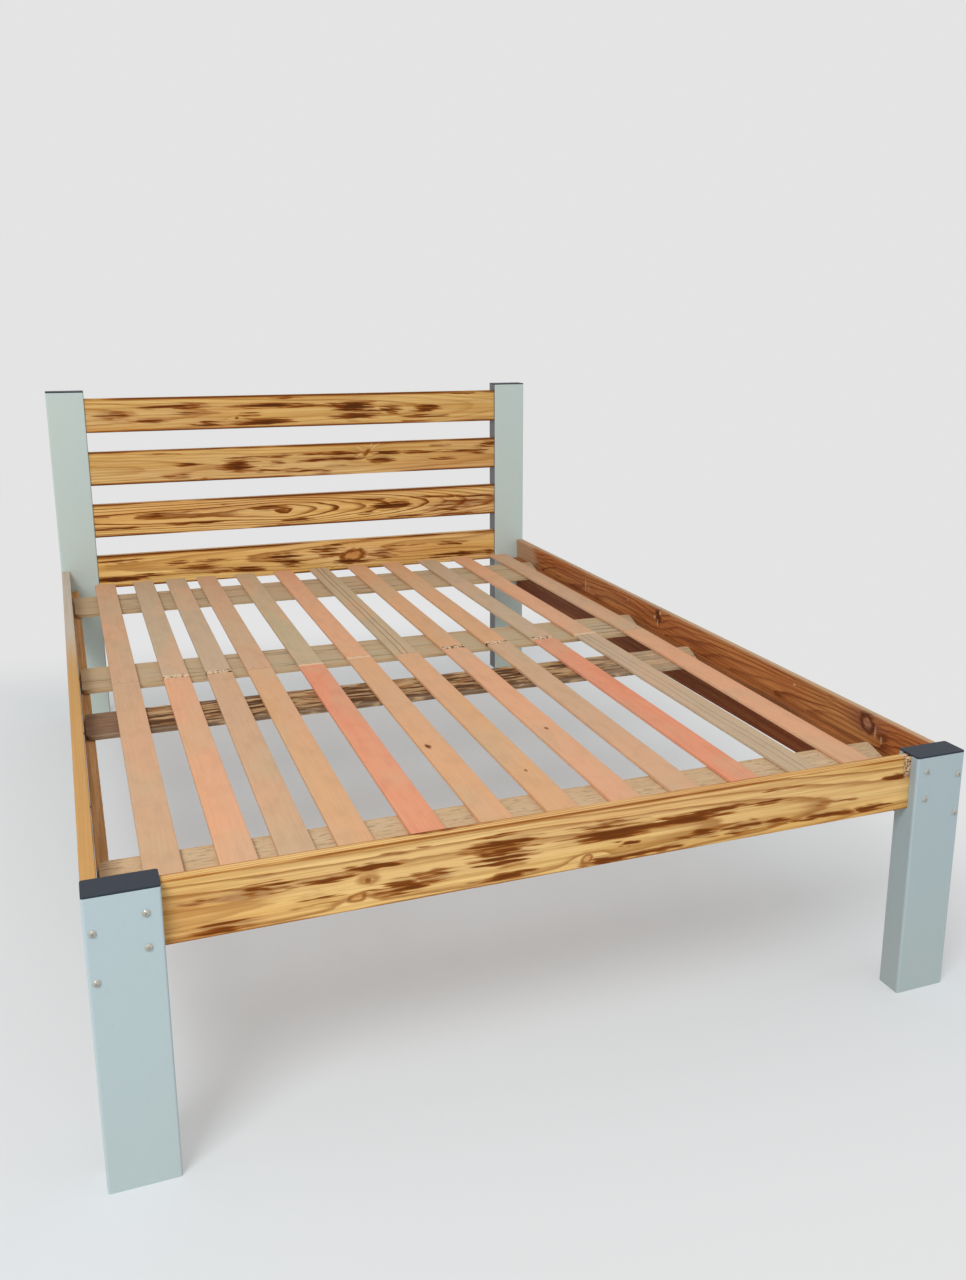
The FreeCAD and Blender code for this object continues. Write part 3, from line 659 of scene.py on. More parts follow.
def ledger_wood(node, tone, late, seed):
    """Rough brown strip."""
    wood = Wood("strip", node, Y, X, seed)
    fibre, streak, flow, _ = wood.fibres()
    marks = wood.saw_marks()
    masks = ((0.60, streak), (0.40, flow), (0.30, fibre), (0.40, marks))
    colour = wood.layers(tone, [(strength, mask, late) for strength, mask in masks])
    return wood.shade({
        "Base Color": colour, "Roughness": wood.scaled(fibre, 0.15, 0.68), "Specular IOR Level": 0.15,
        "Normal": wood.relief(wood.math("ADD", fibre, marks), 0.0006, 0.7)})


def sawn_pine(node, colours, seed):
    """Raw pale board, rough from the saw, weathered unless it lies at the foot."""
    wood = Wood("sawn", node, X, Z, seed)
    fibre, streak, flow, drift = wood.fibres()
    marks = wood.saw_marks()
    late, year = wood.rings(heart=(-0.9, 0.050, 0.02), sink=0.018, ring=0.006, wander=0.03)
    dark = wood.times(late, wood.scaled(year, 0.40, 0.25))
    tone, stretch = colours.weathered, (5.0, 90.0, 90.0)
    if node.startswith("foot"):
        tone, stretch = colours.sawn, (40.0, 260.0, 260.0)
    scratch = wood.spots(stretch, detail=3.0, distortion=0.6)
    husk = colours.husk
    colour = wood.layers(tone, (
        (1.00, dark, husk), (0.50, streak, husk), (0.25, flow, colours.tan), (0.30, drift, colours.sand),
        (0.45, wood.ease(scratch, 0.54, 0.64), colours.bark), (0.45, marks, husk),
        (0.45, wood.attribute("edge"), husk)))
    return wood.shade({
        "Base Color": colour, "Roughness": wood.scaled(fibre, 0.15, 0.75), "Specular IOR Level": 0.15,
        "Normal": wood.relief(wood.math("ADD", fibre, marks), 0.0007, 0.7)})


def bark_pine(node, colours, seed):
    """Dark board with wavy streaks, left rough next to the bark."""
    wood = Wood("bark", node, X, Z, seed)
    fibre, streak, _, drift = wood.fibres()
    wave = wood.spots((9.0, 110.0, 85.0), detail=3.0, distortion=0.8)
    dark = wood.scaled(streak, 0.30, wood.ease(wave, 0.46, 0.57))
    crust = wood.spots((22.0, 60.0, 60.0), detail=4.0, distortion=0.8)
    along, _, forward = wood.split(wood.grain)
    front = wood.ease(forward, wood.half(Y) - 0.045, wood.half(Y))
    bark = colours.bark
    colour = wood.layers(colours.husk, (
        (0.35, drift, colours.tan), (0.65, wood.ease(crust, 0.46, 0.58), colours.toast),
        (1.00, wood.clamp(dark), bark), (1.00, wood.times(front, wood.ease(crust, 0.36, 0.52)), bark),
        (0.60, wood.ease(along, 0.30, 0.62), colours.sawn),
        # Darker and greyer towards the left end
        (0.85, wood.ease(along, -0.56, -0.62), colours.dark_tone),
        (0.45, wood.attribute("edge"), colours.sand)))
    return wood.shade({
        "Base Color": colour, "Roughness": wood.scaled(fibre, 0.15, 0.75), "Specular IOR Level": 0.15,
        "Normal": wood.relief(wood.math("SUBTRACT", fibre, dark), 0.0010, 0.7)})


def slat_wood(node, colours, tone, seed):
    """Raw planed slat in its own tone, some with splits, or with a fresh or torn end at the bed's middle."""
    wood = Wood("wood", node, Y, Z, seed)
    fibre, streak, flow, drift = wood.fibres()
    swirl, core, _, _ = wood.knots(KNOTS)
    late, year = wood.rings(heart=(-0.7 + 0.13 * (seed % 7), 0.035, 0.012 * math.sin(seed)), sink=0.012,
                            ring=0.0042, wander=0.022, knot=swirl)
    worn, warm, _ = wood.split(wood.spots((3.2, 0.0, 9.0), 9.0, detail=3.0, output="Color"))
    mottle = wood.spots((14.0, 0.0, 34.0), 4.0, detail=4.0)
    base = getattr(colours, tone)
    shade = Vector(base) * 0.70
    layers = [
        (1.00, wood.times(late, wood.scaled(year, 0.10, 0.04)), shade), (0.14, streak, shade),
        (0.16, flow, colours.honey), (0.24, drift, colours.rose),
        (0.34, wood.ease(worn, 0.48, 0.62), colours.olive),
        (0.34, wood.ease(warm, 0.50, 0.64), colours.peach),
        (0.22, wood.ease(mottle, 0.46, 0.66), shade), (0.12, fibre, shade), (1.00, core, colours.burnt)]
    at_head = node.startswith("head")
    along, _, across = wood.split(wood.grain)
    wander = wood.spots((5.0, 0.0, 0.0))
    for place in SPLIT_SLATS.get(node, ()):
        path = wood.scaled(wander, 0.012, place - 0.006)
        width = wood.math("ABSOLUTE", wood.math("SUBTRACT", across, path))
        layers.append((0.75 if at_head else 0.40, wood.ease(width, 0.0016, 0.0004), colours.bark))
    from_end = wood.math("SUBTRACT", wood.half(Y), wood.math("ABSOLUTE", along))
    at_joint = wood.math("GREATER_THAN", wood.times(along, -1.0 if at_head else 1.0), 0.0)
    if node in FRESH_SLATS:
        layers.append((0.80, wood.times(at_joint, wood.ease(from_end, 0.016, 0.010)), colours.cream))
    if node in TORN_SLATS:
        dots = wood.ease(wood.spots((95.0, 130.0, 130.0)), 0.50, 0.58)
        pale = wood.times(at_joint, wood.ease(from_end, 0.030, 0.013))
        layers += [(0.70, pale, colours.cream), (1.00, wood.times(pale, dots), colours.bark)]
    return wood.shade({
        "Base Color": wood.layers(base, layers), "Roughness": wood.scaled(fibre, 0.12, 0.66),
        "Specular IOR Level": 0.20, "Normal": wood.relief(wood.scaled(late, 0.2, fibre), 0.0004, 0.5)})


def post_paint(node, colours):
    """Satin paint with a faint peel, greener towards the floor, with a painted highlight along the tube's
    corners and darker inward faces.
    """
    low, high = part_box(node)
    middle = (low + high) / 2
    paint = Finish("paint_" + node)
    place = paint.place()
    cloud = paint.noise(place, (6.0, 6.0, 2.5), 2.0)
    speck = paint.noise(place, (260.0, 260.0, 180.0), 5.0, detail=1.0)
    peel = paint.noise(place, (520.0, 520.0, 520.0), 8.0, detail=1.0)
    parts = paint.split(place)
    at_head = node.startswith("head")
    # The right foot post's paint is a tenth darker, which is painted shade
    cool = Vector(colours.sage if at_head else colours.paint) * (0.90 if node == "foot_post_right" else 1.0)
    green = cool * Vector((1.06, 1.01, 0.93))
    greener = paint.times(paint.ease(parts[Z], middle.z * 1.2, low.z), 0.6)
    greener = paint.scaled(paint.ease(cloud, 0.35, 0.65), 0.4, greener)
    # A lighter tone along the tube's corners is a painted highlight
    inside = [paint.math("SUBTRACT", high[axis] - middle[axis],
                         paint.math("ABSOLUTE", paint.math("SUBTRACT", parts[axis], middle[axis])))
              for axis in (X, Y)]
    corner = paint.ease(paint.math("MAXIMUM", *inside), 0.0045, 0.0020)
    # Inward faces darker: fully on the head posts, and faintly on the foot posts as painted shade
    inward = -1.0 if low.x > 0 else 1.0
    facing = paint.split(paint.add("ShaderNodeNewGeometry").outputs["Normal"])[X]
    side_mask = paint.ease(paint.times(facing, inward), 0.5, 0.9)
    colour = paint.layers(cool, (
        (1.00, greener, green), (0.20, paint.ease(speck, 0.62, 0.75), cool * 0.80),
        (1.00 if at_head else 0.22, side_mask, colours.inner_face_tone), (0.15, corner, cool * 1.30)))
    return paint.shade({"Base Color": colour, "Roughness": paint.scaled(cloud, 0.14, 0.36),
                        "Normal": paint.relief(peel, 0.00008, 0.5)})


def cap_plastic(colours):
    """Moulded plastic with a fine leathery grain."""
    cap = Finish("cap_plastic")
    place = cap.place()
    leather = cap.noise(place, (900.0, 900.0, 900.0), 3.0)
    dust = cap.noise(place, (45.0, 45.0, 45.0), 6.0, detail=4.0)
    colour = cap.layers(colours.cap, ((0.35, cap.ease(dust, 0.45, 0.75), Vector(colours.cap) * 1.9),))
    return cap.shade({"Base Color": colour, "Roughness": cap.scaled(dust, 0.25, 0.38),
                      "Specular IOR Level": 0.25, "Normal": cap.relief(leather, 0.0002, 0.6)})


def painted_dome(colours):
    """Fastener head with thin paint worn to the metal on top."""
    dome = Finish("painted_dome")
    wear = dome.ease(dome.noise(dome.place(), (420.0, 420.0, 420.0), 4.0, detail=3.0), 0.45, 0.62)
    return dome.shade({"Base Color": dome.layers(colours.brass, ((1.00, wear, colours.zinc),)),
                       "Metallic": dome.times(wear, 0.5), "Roughness": dome.scaled(wear, -0.08, 0.38)})


def zinc_steel(colours):
    """Plated steel with a cloudy passivated film."""
    steel = Finish("zinc_steel")
    film = steel.noise(steel.place(), (240.0, 240.0, 240.0), 7.0, detail=3.0)
    colour = steel.layers(colours.zinc, ((1.00, steel.ease(film, 0.35, 0.7), Vector(colours.zinc) * 0.6),))
    return steel.shade({"Base Color": colour, "Metallic": 1.0, "Roughness": steel.scaled(film, 0.25, 0.28)})


def deselect():
    """Leave nothing selected."""
    bpy.ops.object.select_all(action="DESELECT")


def activate(piece):
    """Select one piece alone and make it the active one."""
    deselect()
    piece.select_set(True)
    bpy.context.view_layer.objects.active = piece


def pick(kind, test):
    """In edit mode, select only the vertices, edges or faces that pass a test."""
    bpy.ops.mesh.select_mode(type=kind)
    bpy.ops.mesh.select_all(action="DESELECT")
    mesh = bpy.context.edit_object.data
    shape = bmesh.from_edit_mesh(mesh)
    for part in {"VERT": shape.verts, "EDGE": shape.edges, "FACE": shape.faces}[kind]:
        if test(part):
            part.select_set(True)
    shape.select_flush_mode()
    bmesh.update_edit_mesh(mesh)


def runs_along(axis):
    """Test for edges that run along an axis."""
    def test(edge):
        step = edge.verts[1].co - edge.verts[0].co
        return abs(step[axis]) > 0.999 * step.length
    return test


def divide(axis, *cuts):
    """In edit mode, cut the edges along an axis, one pass after another."""
    for count in cuts:
        pick("EDGE", runs_along(axis))
        bpy.ops.mesh.subdivide(number_cuts=count)


def squared_timber(name, node, skin, easing, grain, cuts):
    """Squared timber where a node is: a cube at its size, divided along each axis, its long edges eased."""
    low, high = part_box(node)
    low = low + Vector((skin,) * 3)
    high = high - Vector((skin,) * 3)
    deselect()
    bpy.ops.mesh.primitive_cube_add(size=1.0, location=(low + high) / 2, scale=high - low)
    bpy.ops.object.transform_apply(location=True, rotation=True, scale=True)
    piece = bpy.context.active_object
    piece.name = name
    bpy.ops.object.mode_set(mode="EDIT")
    for axis, passes in enumerate(cuts):
        divide(axis, *passes)
    across = [axis for axis in (X, Y, Z) if axis != grain]
    along = runs_along(grain)

    def on_corner(edge):
        corner = edge.verts[0].co
        return along(edge) and all(min(corner[a] - low[a], high[a] - corner[a]) < skin / 4 for a in across)

    pick("EDGE", on_corner)
    bpy.ops.mesh.bevel(offset=easing, segments=2, affect="EDGES")
    bpy.ops.object.mode_set(mode="OBJECT")
    return piece


def apply_modifier(piece, kind, **settings):
    """Add a modifier to a piece and apply it."""
    modifier = piece.modifiers.new(kind, kind)
    for name, value in settings.items():
        setattr(modifier, name, value)
    activate(piece)
    bpy.ops.object.modifier_apply(modifier=modifier.name)


def make_uneven(piece, depth, size):
    """Sink soft hollows of about one size into a piece's faces."""
    texture = bpy.data.textures.new("hollows", "CLOUDS")
    texture.noise_scale = size
    texture.noise_depth = 2
    apply_modifier(piece, "DISPLACE", texture=texture, texture_coords="LOCAL", mid_level=1.0, strength=depth)


def roughen(piece, test, offset, seed, shift=None):
    """Scatter the vertices that pass a test at random, shifted first where a shift is given."""
    activate(piece)
    bpy.ops.object.mode_set(mode="EDIT")
    pick("VERT", test)
    if shift:
        bpy.ops.transform.translate(value=shift)
    bpy.ops.transform.vertex_random(offset=offset, seed=seed)
    bpy.ops.object.mode_set(mode="OBJECT")


def vertices(piece):
    """Vertex positions of a piece, one row each."""
    places = np.empty(3 * len(piece.data.vertices))
    piece.data.vertices.foreach_get("co", places)
    return places.reshape(-1, 3)


def set_vertices(piece, places):
    """Move a piece's vertices."""
    piece.data.vertices.foreach_set("co", places.ravel())
    piece.data.update()


def lay(piece, layer, values):
    """Paint a layer of values on a piece's vertices."""
    attribute = piece.data.attributes.new(layer, "FLOAT", "POINT")
    attribute.data.foreach_set("value", np.asarray(values, np.float32))


def ovals(along, up, marks, spread=1.0, halo=0.0):
    """Strength of soft oval marks, each with a fainter halo, at each vertex, the strongest one winning."""
    strength = np.zeros(len(along))
    for mark in marks:
        reach = ((along - mark.along) / mark.length) ** 2 + ((up - mark.up) / mark.height) ** 2
        core = np.exp(-(reach / spread) ** 1.2)
        rim = np.exp(-reach / (4.0 * spread))
        strength = np.maximum(strength, mark.depth * ((1.0 - halo) * core + halo * rim))
    return strength


def flutter(along, up, seed, finest=9, broadest=40):
    """Smooth random field between about -1 and 1, long along the grain and finer or broader across it."""
    waves = np.random.default_rng(seed)
    field = np.zeros(len(along))
    for _ in range(7):
        turns = along / waves.uniform(30, 140) + up / waves.uniform(finest, broadest) + waves.uniform()
        field += np.sin(2 * np.pi * turns)
    return field / 3.0


def chance_marks(seed, count, reach, height):
    """Burns for the face that the photograph doesn't show."""
    chance = np.random.default_rng(seed)
    return [Mark(chance.uniform(-reach, reach), chance.uniform(0, height), chance.uniform(20, 65),
                 chance.uniform(3, 9), chance.uniform(0.35, 0.9)) for _ in range(count)]


def near_face(places, axis, side):
    """1 on the face of a piece on one side along an axis, 0 on the other face."""
    low = places[:, axis].min()
    high = places[:, axis].max()
    share = (places[:, axis] - low) / (high - low)
    return share if side > 0 else 1.0 - share


def long_edges(places, axes, reach):
    """1 at a piece's long edges, falling off over a reach."""
    sides = [places[:, axis] for axis in axes]
    from_edge = [np.minimum(side - side.min(), side.max() - side) for side in sides]
    return np.exp(-np.maximum(*from_edge) / reach)


def raise_knots(piece, node, along, up, axis, side, rise):
    """Let the face bulge softly round a node's knots and sink at their hearts."""
    places = vertices(piece)
    knots = marks_on(node, KNOTS)
    swell = ovals(along, up, knots, 3.0) - 1.6 * ovals(along, up, knots, 0.5)
    places[:, axis] += side * rise * swell * (near_face(places, axis, side) > 0.95)
    set_vertices(piece, places)


def smooth(piece):
    """Smooth shading with crisp arrises."""
    activate(piece)
    bpy.ops.object.shade_smooth_by_angle(angle=CRISP_ANGLE)


def hand_over(piece, node, material):
    """Finish a piece: its material, and the node that it stands for."""
    piece.data.materials.append(material)
    smooth(piece)
    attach(piece, "root")
    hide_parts(node)


def dress(node, material):
    """Give a CAD node its finish."""
    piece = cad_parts[node]
    piece.data.materials.clear()
    piece.data.materials.append(material)


def scorched_board(node, context):
    """One board of scorched pine, brushed, with its burns and knots on the front and others on the back."""
    shapes = context.scene.bed_shapes
    figure = FIGURES[node]
    piece = squared_timber(node + "_pine", node, shapes.skin, shapes.board_easing, X, BOARD_CUTS)
    places = vertices(piece)
    along = places[:, X] / MM
    up = (places[:, Z] - places[:, Z].min()) / MM
    front = np.clip(1.6 * near_face(places, Y, -1), 0.0, 1.0)
    back = np.clip(1.6 * near_face(places, Y, 1) - 0.6, 0.0, 1.0)
    seed = int(figure.seed * 10)
    frayed = along + 9.0 * flutter(along, up, seed) + 14.0 * flutter(along, up, seed + 2, 4, 9)
    wavy = up + 1.6 * flutter(along, up, seed + 1)
    unseen = chance_marks(seed, UNSEEN_BURNS, along.max(), up.max())
    burn = ovals(frayed, wavy, marks_on(node, BURNS), halo=BURN_HALO) * front
    lay(piece, "burn", np.maximum(burn, ovals(frayed, wavy, unseen, halo=BURN_HALO) * back))
    charred = 0.9 * long_edges(places, (Y, Z), 2.5 * MM) + 0.5 * long_edges(places, (Y, Z), 7 * MM)
    lay(piece, "edge", charred * figure.edge)
    raise_knots(piece, node, along, up, Y, -1, shapes.knot_rise)
    make_uneven(piece, shapes.brushing, BRUSHED_HOLLOWS)
    hand_over(piece, node, scorched_pine(node, context.scene.bed_colours))
    return piece


class BED_OT_stage(Operator):
    """Add the pale floor, the soft lights and the camera"""
    bl_idname = "bed.stage"
    bl_label = "Stage"

    def execute(self, context):
        stage = context.scene.bed_stage
        add_floor(stage)
        add_sky(context.scene, stage)
        for name, (side, place) in LIGHTS.items():
            add_light(name, getattr(stage, name), side, Vector(place))
        add_camera(context.scene)
        context.scene.view_settings.view_transform = "Standard"
        return {"FINISHED"}


def add_floor(stage):
    """Wide floor that fades into the background far from the bed."""
    deselect()
    bpy.ops.mesh.primitive_plane_add(size=FLOOR_SIDE, location=(0.0, 0.0, -FLOOR_DROP))
    floor = bpy.context.active_object
    floor.name = "floor"
    material = bpy.data.materials.new("floor")
    table = NodeTable(empty_tree(material))
    parts = table.split(table.place())
    outside = [table.math("SUBTRACT", table.math("ABSOLUTE", parts[axis]), CAD_BOX[1][axis])
               for axis in (X, Y)]
    away = table.ease(table.math("MAXIMUM", *outside), -0.1, 0.7)
    seen = table.times(table.scaled(away, 0.62, 0.38), seen_rays(table))
    cool = Vector(stage.floor) * Vector((0.940, 1.005, 1.045))
    matt = table.add("ShaderNodeBsdfDiffuse", {"Color": rgba(cool)}).outputs[0]
    plain = table.add("ShaderNodeEmission", {"Color": rgba(stage.floor)}).outputs[0]
    surface = table.add("ShaderNodeMixShader", {0: seen, 1: matt, 2: plain}).outputs[0]
    table.add("ShaderNodeOutputMaterial", {"Surface": surface})
    floor.data.materials.append(material)


def seen_rays(table):
    """1 for what the camera sees, directly, in a reflection or through glass."""
    rays = table.add("ShaderNodeLightPath").outputs
    seen = table.math("MAXIMUM", rays["Is Camera Ray"], rays["Is Glossy Ray"])
    return table.math("MAXIMUM", seen, rays["Is Transmission Ray"])


def add_sky(scene, stage):
    """Even light from all round, with the floor's colour behind the bed."""
    world = bpy.data.worlds.new("studio")
    table = NodeTable(empty_tree(world))
    white = (1.0, 1.0, 1.0, 1.0)
    light = table.add("ShaderNodeBackground", {"Color": white, "Strength": stage.sky}).outputs[0]
    plain = table.add("ShaderNodeBackground", {"Color": rgba(stage.floor)}).outputs[0]
    surface = table.add("ShaderNodeMixShader", {0: seen_rays(table), 1: light, 2: plain}).outputs[0]
    table.add("ShaderNodeOutputWorld", {"Surface": surface})
    scene.world = world


def add_light(name, watts, side, place):
    """Square soft light that faces the middle of the bed."""
    bpy.ops.object.light_add(type="AREA", location=place)
    lamp = bpy.context.active_object
    lamp.name = name
    lamp.data.energy = watts
    lamp.data.size = side
    lamp.rotation_euler = (LIT_POINT - place).to_track_quat("-Z", "Y").to_euler()


def add_camera(scene):
    """Camera at the photograph's place, angle and framing."""
    bpy.ops.object.camera_add()
    camera = bpy.context.active_object
    camera.name = "camera"
    pose = Matrix.Translation(CAMERA_PLACE)
    for degrees, axis in CAMERA_TURNS:
        pose = pose @ Matrix.Rotation(math.radians(degrees), 4, axis)
    camera.matrix_world = pose
    camera.data.sensor_width = SENSOR_WIDTH
    camera.data.lens = SENSOR_WIDTH * FOCAL_LENGTH / PHOTO_HEIGHT
    camera.data.shift_x = (PHOTO_WIDTH / 2 - LENS_POINT[X]) / PHOTO_HEIGHT
    camera.data.shift_y = (LENS_POINT[Y] - PHOTO_HEIGHT / 2) / PHOTO_HEIGHT
    scene.camera = camera


class BED_OT_posts(Operator):
    """Paint the tube posts and finish their caps"""
    bl_idname = "bed.posts"
    bl_label = "Posts and caps"

    def execute(self, context):
        colours = context.scene.bed_colours
        plastic = cap_plastic(colours)
        for end in ("head", "foot"):
            for side in ("left", "right"):
                post = end + "_post_" + side
                dress(post, post_paint(post, colours))
                dress(end + "_cap_" + side, plastic)
        return {"FINISHED"}


class BED_OT_headboard(Operator):
    """Model the four scorched boards of the headboard"""
    bl_idname = "bed.headboard"
    bl_label = "Headboard"

    def execute(self, context):
        for node in FIGURES:
            if node.startswith("headboard"):
                scorched_board(node, context)
        return {"FINISHED"}


class BED_OT_foot_rail(Operator):
    """Model the scorched foot rail with its torn corner"""
    bl_idname = "bed.foot_rail"
    bl_label = "Foot rail"

    def execute(self, context):
        piece = scorched_board("foot_rail", context)
        splinter_corner(piece, context.scene.bed_shapes.splinters)
        return {"FINISHED"}


def splinter_corner(piece, depth):
    """Tear the top corner of the foot rail where it enters the right post."""
    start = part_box("foot_post_right")[0].x - TEAR_OUT
    low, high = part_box("foot_rail")
    roughen(piece, lambda vertex: vertex.co.x > start and vertex.co.z > high.z - TEAR_DOWN
            and vertex.co.y < (low.y + high.y) / 2, depth, 5, shift=(0.0, 2 * depth, -depth / 2))
    places = vertices(piece)
    sideways = np.clip((places[:, X] - start) / PALE_FADE[0], 0.0, 1.0)
    upwards = np.clip((places[:, Z] - high.z + PALE_DOWN) / PALE_FADE[1], 0.0, 1.0)
    lay(piece, "torn", sideways * upwards)


class BED_OT_side_rails(Operator):
    """Model the two side rails with the mouths of their nut holes"""
    bl_idname = "bed.side_rails"
    bl_label = "Side rails"

    def execute(self, context):
        shapes = context.scene.bed_shapes
        colours = context.scene.bed_colours
        finishes = {
            "left": RailFinish(colours.gold, colours.gold_late, colours.gold, colours.bleached,
                               start=-0.05, end=0.45, seed=21.0),
            "right": RailFinish(colours.rail, colours.rail_late, colours.rail_top, colours.dry,
                                start=0.83, end=0.90, seed=25.0),
        }
        for side, finish in finishes.items():
            node = "side_rail_" + side
            inner = 1 if side == "left" else -1
            piece = squared_timber(node + "_pine", node, shapes.skin, shapes.board_easing, Y, RAIL_CUTS)
            places = vertices(piece)
            along = places[:, Y] / MM
            up = (places[:, Z] - places[:, Z].min()) / MM
            side_mask = np.clip(2.5 * near_face(places, X, -inner) - 0.5, 0.0, 1.0) if side == "right" else 1.0
            lay(piece, "edge", side_mask * (places[:, Z] > places[:, Z].max() - 0.5 * MM))
            raise_knots(piece, node, along, up, X, inner, shapes.knot_rise)
            make_uneven(piece, shapes.brushing, PLANED_HOLLOWS)
            drill_nut_holes(piece, -inner, shapes.nut_hole)
            hand_over(piece, node, rail_pine(node, finish, colours))
        return {"FINISHED"}


def drill_nut_holes(piece, outer, diameter):
    """Bore the rail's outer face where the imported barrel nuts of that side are."""
    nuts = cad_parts["barrel_nuts"].data.vertices
    mine = np.array([vertex.co for vertex in nuts if vertex.co.x * outer > 0])
    low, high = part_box("side_rail_left" if outer < 0 else "side_rail_right")
    for end in (-1, 1):
        group = mine[mine[:, Y] * end > 0]
        split = (group[:, Z].min() + group[:, Z].max()) / 2
        for row in (group[group[:, Z] < split], group[group[:, Z] > split]):
            middle = (row.min(0) + row.max(0)) / 2
            reach = (high.x - low.x) - BLIND_WALL
            inset = reach / 2 - DRILL_START
            start = low.x + inset if outer < 0 else high.x - inset
            bore(piece, (start, middle[Y], middle[Z]), diameter / 2, reach + 2 * DRILL_START)


def bore(piece, place, radius, depth):
    """Cut one round hole along X."""
    deselect()
    bpy.ops.mesh.primitive_cylinder_add(vertices=40, radius=radius, depth=depth, location=place,
                                        rotation=(0.0, math.pi / 2, 0.0))
    drill = bpy.context.active_object
    apply_modifier(piece, "BOOLEAN", object=drill, operation="DIFFERENCE")
    bpy.data.objects.remove(drill)


class BED_OT_ledgers(Operator):
    """Model the rough strips that carry the cross boards"""
    bl_idname = "bed.ledgers"
    bl_label = "Ledgers"

    def execute(self, context):
        shapes = context.scene.bed_shapes
        colours = context.scene.bed_colours
        woods = {"ledger_left": (colours.ledger, colours.gold_late, 31.0),
                 "ledger_right": (colours.rail, colours.bark, 35.0)}
        for node, (wood, late, seed) in woods.items():
            piece = squared_timber(node + "_strip", node, shapes.skin, shapes.slat_easing, Y, LEDGER_CUTS)
            make_uneven(piece, shapes.sawing, SAWN_HOLLOWS)
            hand_over(piece, node, ledger_wood(node, wood, late, seed))
        return {"FINISHED"}


class BED_OT_cross_boards(Operator):
    """Model the flat boards that the slats are nailed to"""
    bl_idname = "bed.cross_boards"
    bl_label = "Cross boards"

    def execute(self, context):
        shapes = context.scene.bed_shapes
        colours = context.scene.bed_colours
        for seed, name in enumerate(("head", "mid", "low", "foot"), start=41):
            node = name + "_cross_board"
            piece = squared_timber(node + "_pine", node, shapes.skin, shapes.slat_easing, X, CROSS_BOARD_CUTS)
            round_corners(piece, shapes.corner)
            slant_end(piece, shapes.slant)
            lay(piece, "edge", long_edges(vertices(piece), (Y, Z), 6 * MM))
            make_uneven(piece, shapes.sawing, SAWN_HOLLOWS)
            finish = bark_pine if name == "low" else sawn_pine
            hand_over(piece, node, finish(node, colours, float(seed)))
        return {"FINISHED"}


def round_corners(piece, radius):
    """Round a flat board's four corners in plan."""
    places = vertices(piece)
    flat = places[:, :2]
    middle = (flat.min(0) + flat.max(0)) / 2
    half = (flat.max(0) - flat.min(0)) / 2 - radius
    offset = flat - middle
    beyond = np.abs(offset) - half
    in_corner = (beyond > 0).all(axis=1)
    distance = np.linalg.norm(beyond, axis=1)
    outside = in_corner & (distance > radius)
    pulled = half + beyond * (radius / np.maximum(distance, radius))[:, None]
    flat[outside] = (middle + np.sign(offset) * pulled)[outside]
    set_vertices(piece, places)


def slant_end(piece, slant):
    """Slant a board's right end, so that its foot-side corner is shorter."""
    places = vertices(piece)
    low = places.min(0)
    high = places.max(0)
    towards_foot = (high[Y] - places[:, Y]) / (high[Y] - low[Y])
    towards_end = np.clip((places[:, X] - high[X] + 4 * slant) / (4 * slant), 0.0, 1.0)
    places[:, X] -= slant * towards_foot * towards_end
    set_vertices(piece, places)


class BED_OT_slats(Operator):
    """Model one slat, copy it to all places and give each its own tone and ends"""
    bl_idname = "bed.slats"
    bl_label = "Slats"

    def execute(self, context):
        shapes = context.scene.bed_shapes
        colours = context.scene.bed_colours
        first = "head_slat_01"
        master = squared_timber("slat", first, shapes.skin, shapes.slat_easing, Y, SLAT_CUTS)
        for end, tones in SLAT_TONES.items():
            for number, tone in enumerate(tones, start=1):
                node = "%s_slat_%02d" % (end, number)
                seed = number + (50.0 if end == "head" else 70.0)
                piece = copied_slat(master, first, node)
                ragged = shapes.tear if node in TORN_SLATS else shapes.tear / 6
                roughen_end(piece, ragged, int(seed))
                make_uneven(piece, shapes.brushing, SLAT_HOLLOWS)
                hand_over(piece, node, slat_wood(node, colours, tone, seed))
        bpy.data.objects.remove(master)
        return {"FINISHED"}


def copied_slat(master, first, node):
    """Copy of the first slat with its own mesh, moved to another slat's place and as askew as that one."""
    low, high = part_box(node)
    straight_low, straight_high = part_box(first)
    step = Vector((high.x - straight_high.x, (low.y + high.y - straight_low.y - straight_high.y) / 2, 0.0))
    drift = (high.x - low.x) - (straight_high.x - straight_low.x)
    turn = math.asin(drift / (straight_high.y - straight_low.y))
    pivot = Vector((straight_low.x + straight_high.x, 0.0, straight_low.z + straight_high.z)) / 2
    activate(master)
    bpy.ops.object.duplicate(linked=False)
    bpy.ops.transform.translate(value=step)
    bpy.ops.transform.rotate(value=turn, orient_axis="Z", center_override=pivot + Vector((step.x, 0.0, 0.0)))
    bpy.ops.object.transform_apply(location=True, rotation=True, scale=True)
    piece = bpy.context.active_object
    piece.name = node + "_wood"
    return piece


def roughen_end(piece, offset, seed):
    """Make the end at the middle of the bed ragged."""
    nearest = np.abs(vertices(piece)[:, Y]).min()
    roughen(piece, lambda vertex: abs(vertex.co.y) < nearest + 2 * MM, offset, seed)


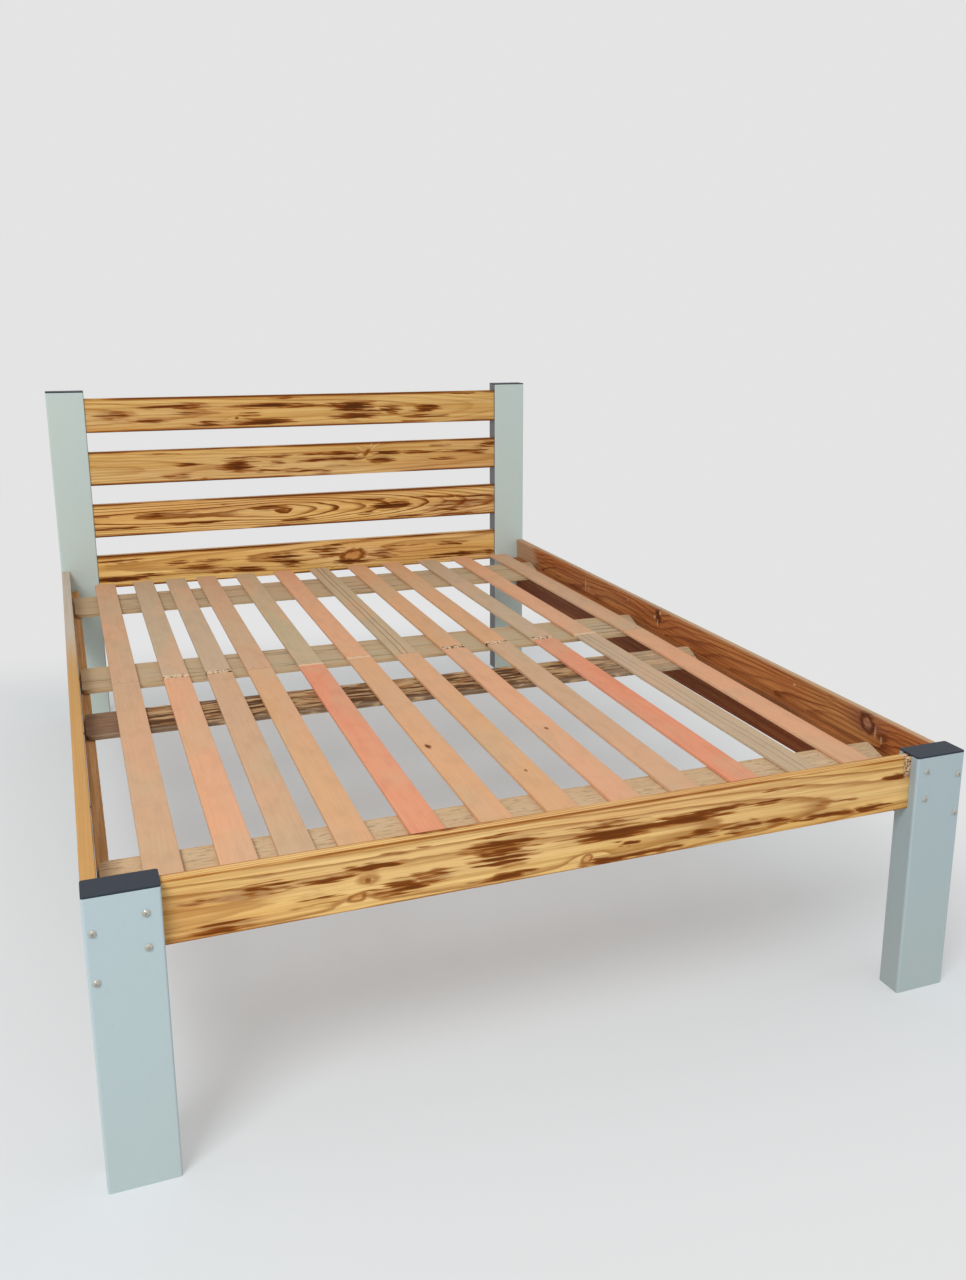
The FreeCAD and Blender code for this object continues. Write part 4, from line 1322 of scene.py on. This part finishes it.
class BED_OT_fasteners(Operator):
    """Finish the bolts, screws, nuts and nails"""
    bl_idname = "bed.fasteners"
    bl_label = "Fasteners"

    def execute(self, context):
        colours = context.scene.bed_colours
        dome = painted_dome(colours)
        zinc = zinc_steel(colours)
        for node in ("rail_bolts", "headboard_screws", "foot_rail_screws"):
            dress(node, dome)
        for node in ("barrel_nuts", "ledger_screws", "joint_nails", "panel_nails"):
            dress(node, zinc)
        return {"FINISHED"}


class BED_PT_panel(Panel):
    """Lists the steps that build the bed"""
    bl_idname = "BED_PT_panel"
    bl_label = "Scorched pine bed"
    bl_space_type = "VIEW_3D"
    bl_region_type = "UI"
    bl_category = "Bed"

    def draw(self, context):
        for step in STEPS:
            self.layout.operator(step.bl_idname)


STEPS = (BED_OT_stage, BED_OT_posts, BED_OT_headboard, BED_OT_foot_rail, BED_OT_side_rails, BED_OT_ledgers,
         BED_OT_cross_boards, BED_OT_slats, BED_OT_fasteners)
SETTINGS = {"bed_colours": BedColours, "bed_shapes": BedShapes, "bed_stage": BedStage}


def register():
    """Add the settings, the steps and the panel."""
    for name, settings in SETTINGS.items():
        bpy.utils.register_class(settings)
        setattr(bpy.types.Scene, name, PointerProperty(type=settings))
    for step in (*STEPS, BED_PT_panel):
        bpy.utils.register_class(step)


def unregister():
    """Take the panel, the steps and the settings away."""
    for step in (BED_PT_panel, *reversed(STEPS)):
        bpy.utils.unregister_class(step)
    for name, settings in SETTINGS.items():
        delattr(bpy.types.Scene, name)
        bpy.utils.unregister_class(settings)


def main():
    """Build the whole bed."""
    register()
    make_rings_group()
    make_fibre_group()
    make_knot_group()
    make_scorch_group()
    make_saw_group()
    bpy.ops.bed.stage()
    bpy.ops.bed.posts()
    bpy.ops.bed.headboard()
    bpy.ops.bed.foot_rail()
    bpy.ops.bed.side_rails()
    bpy.ops.bed.ledgers()
    bpy.ops.bed.cross_boards()
    bpy.ops.bed.slats()
    bpy.ops.bed.fasteners()


if __name__ == "__main__":
    main()
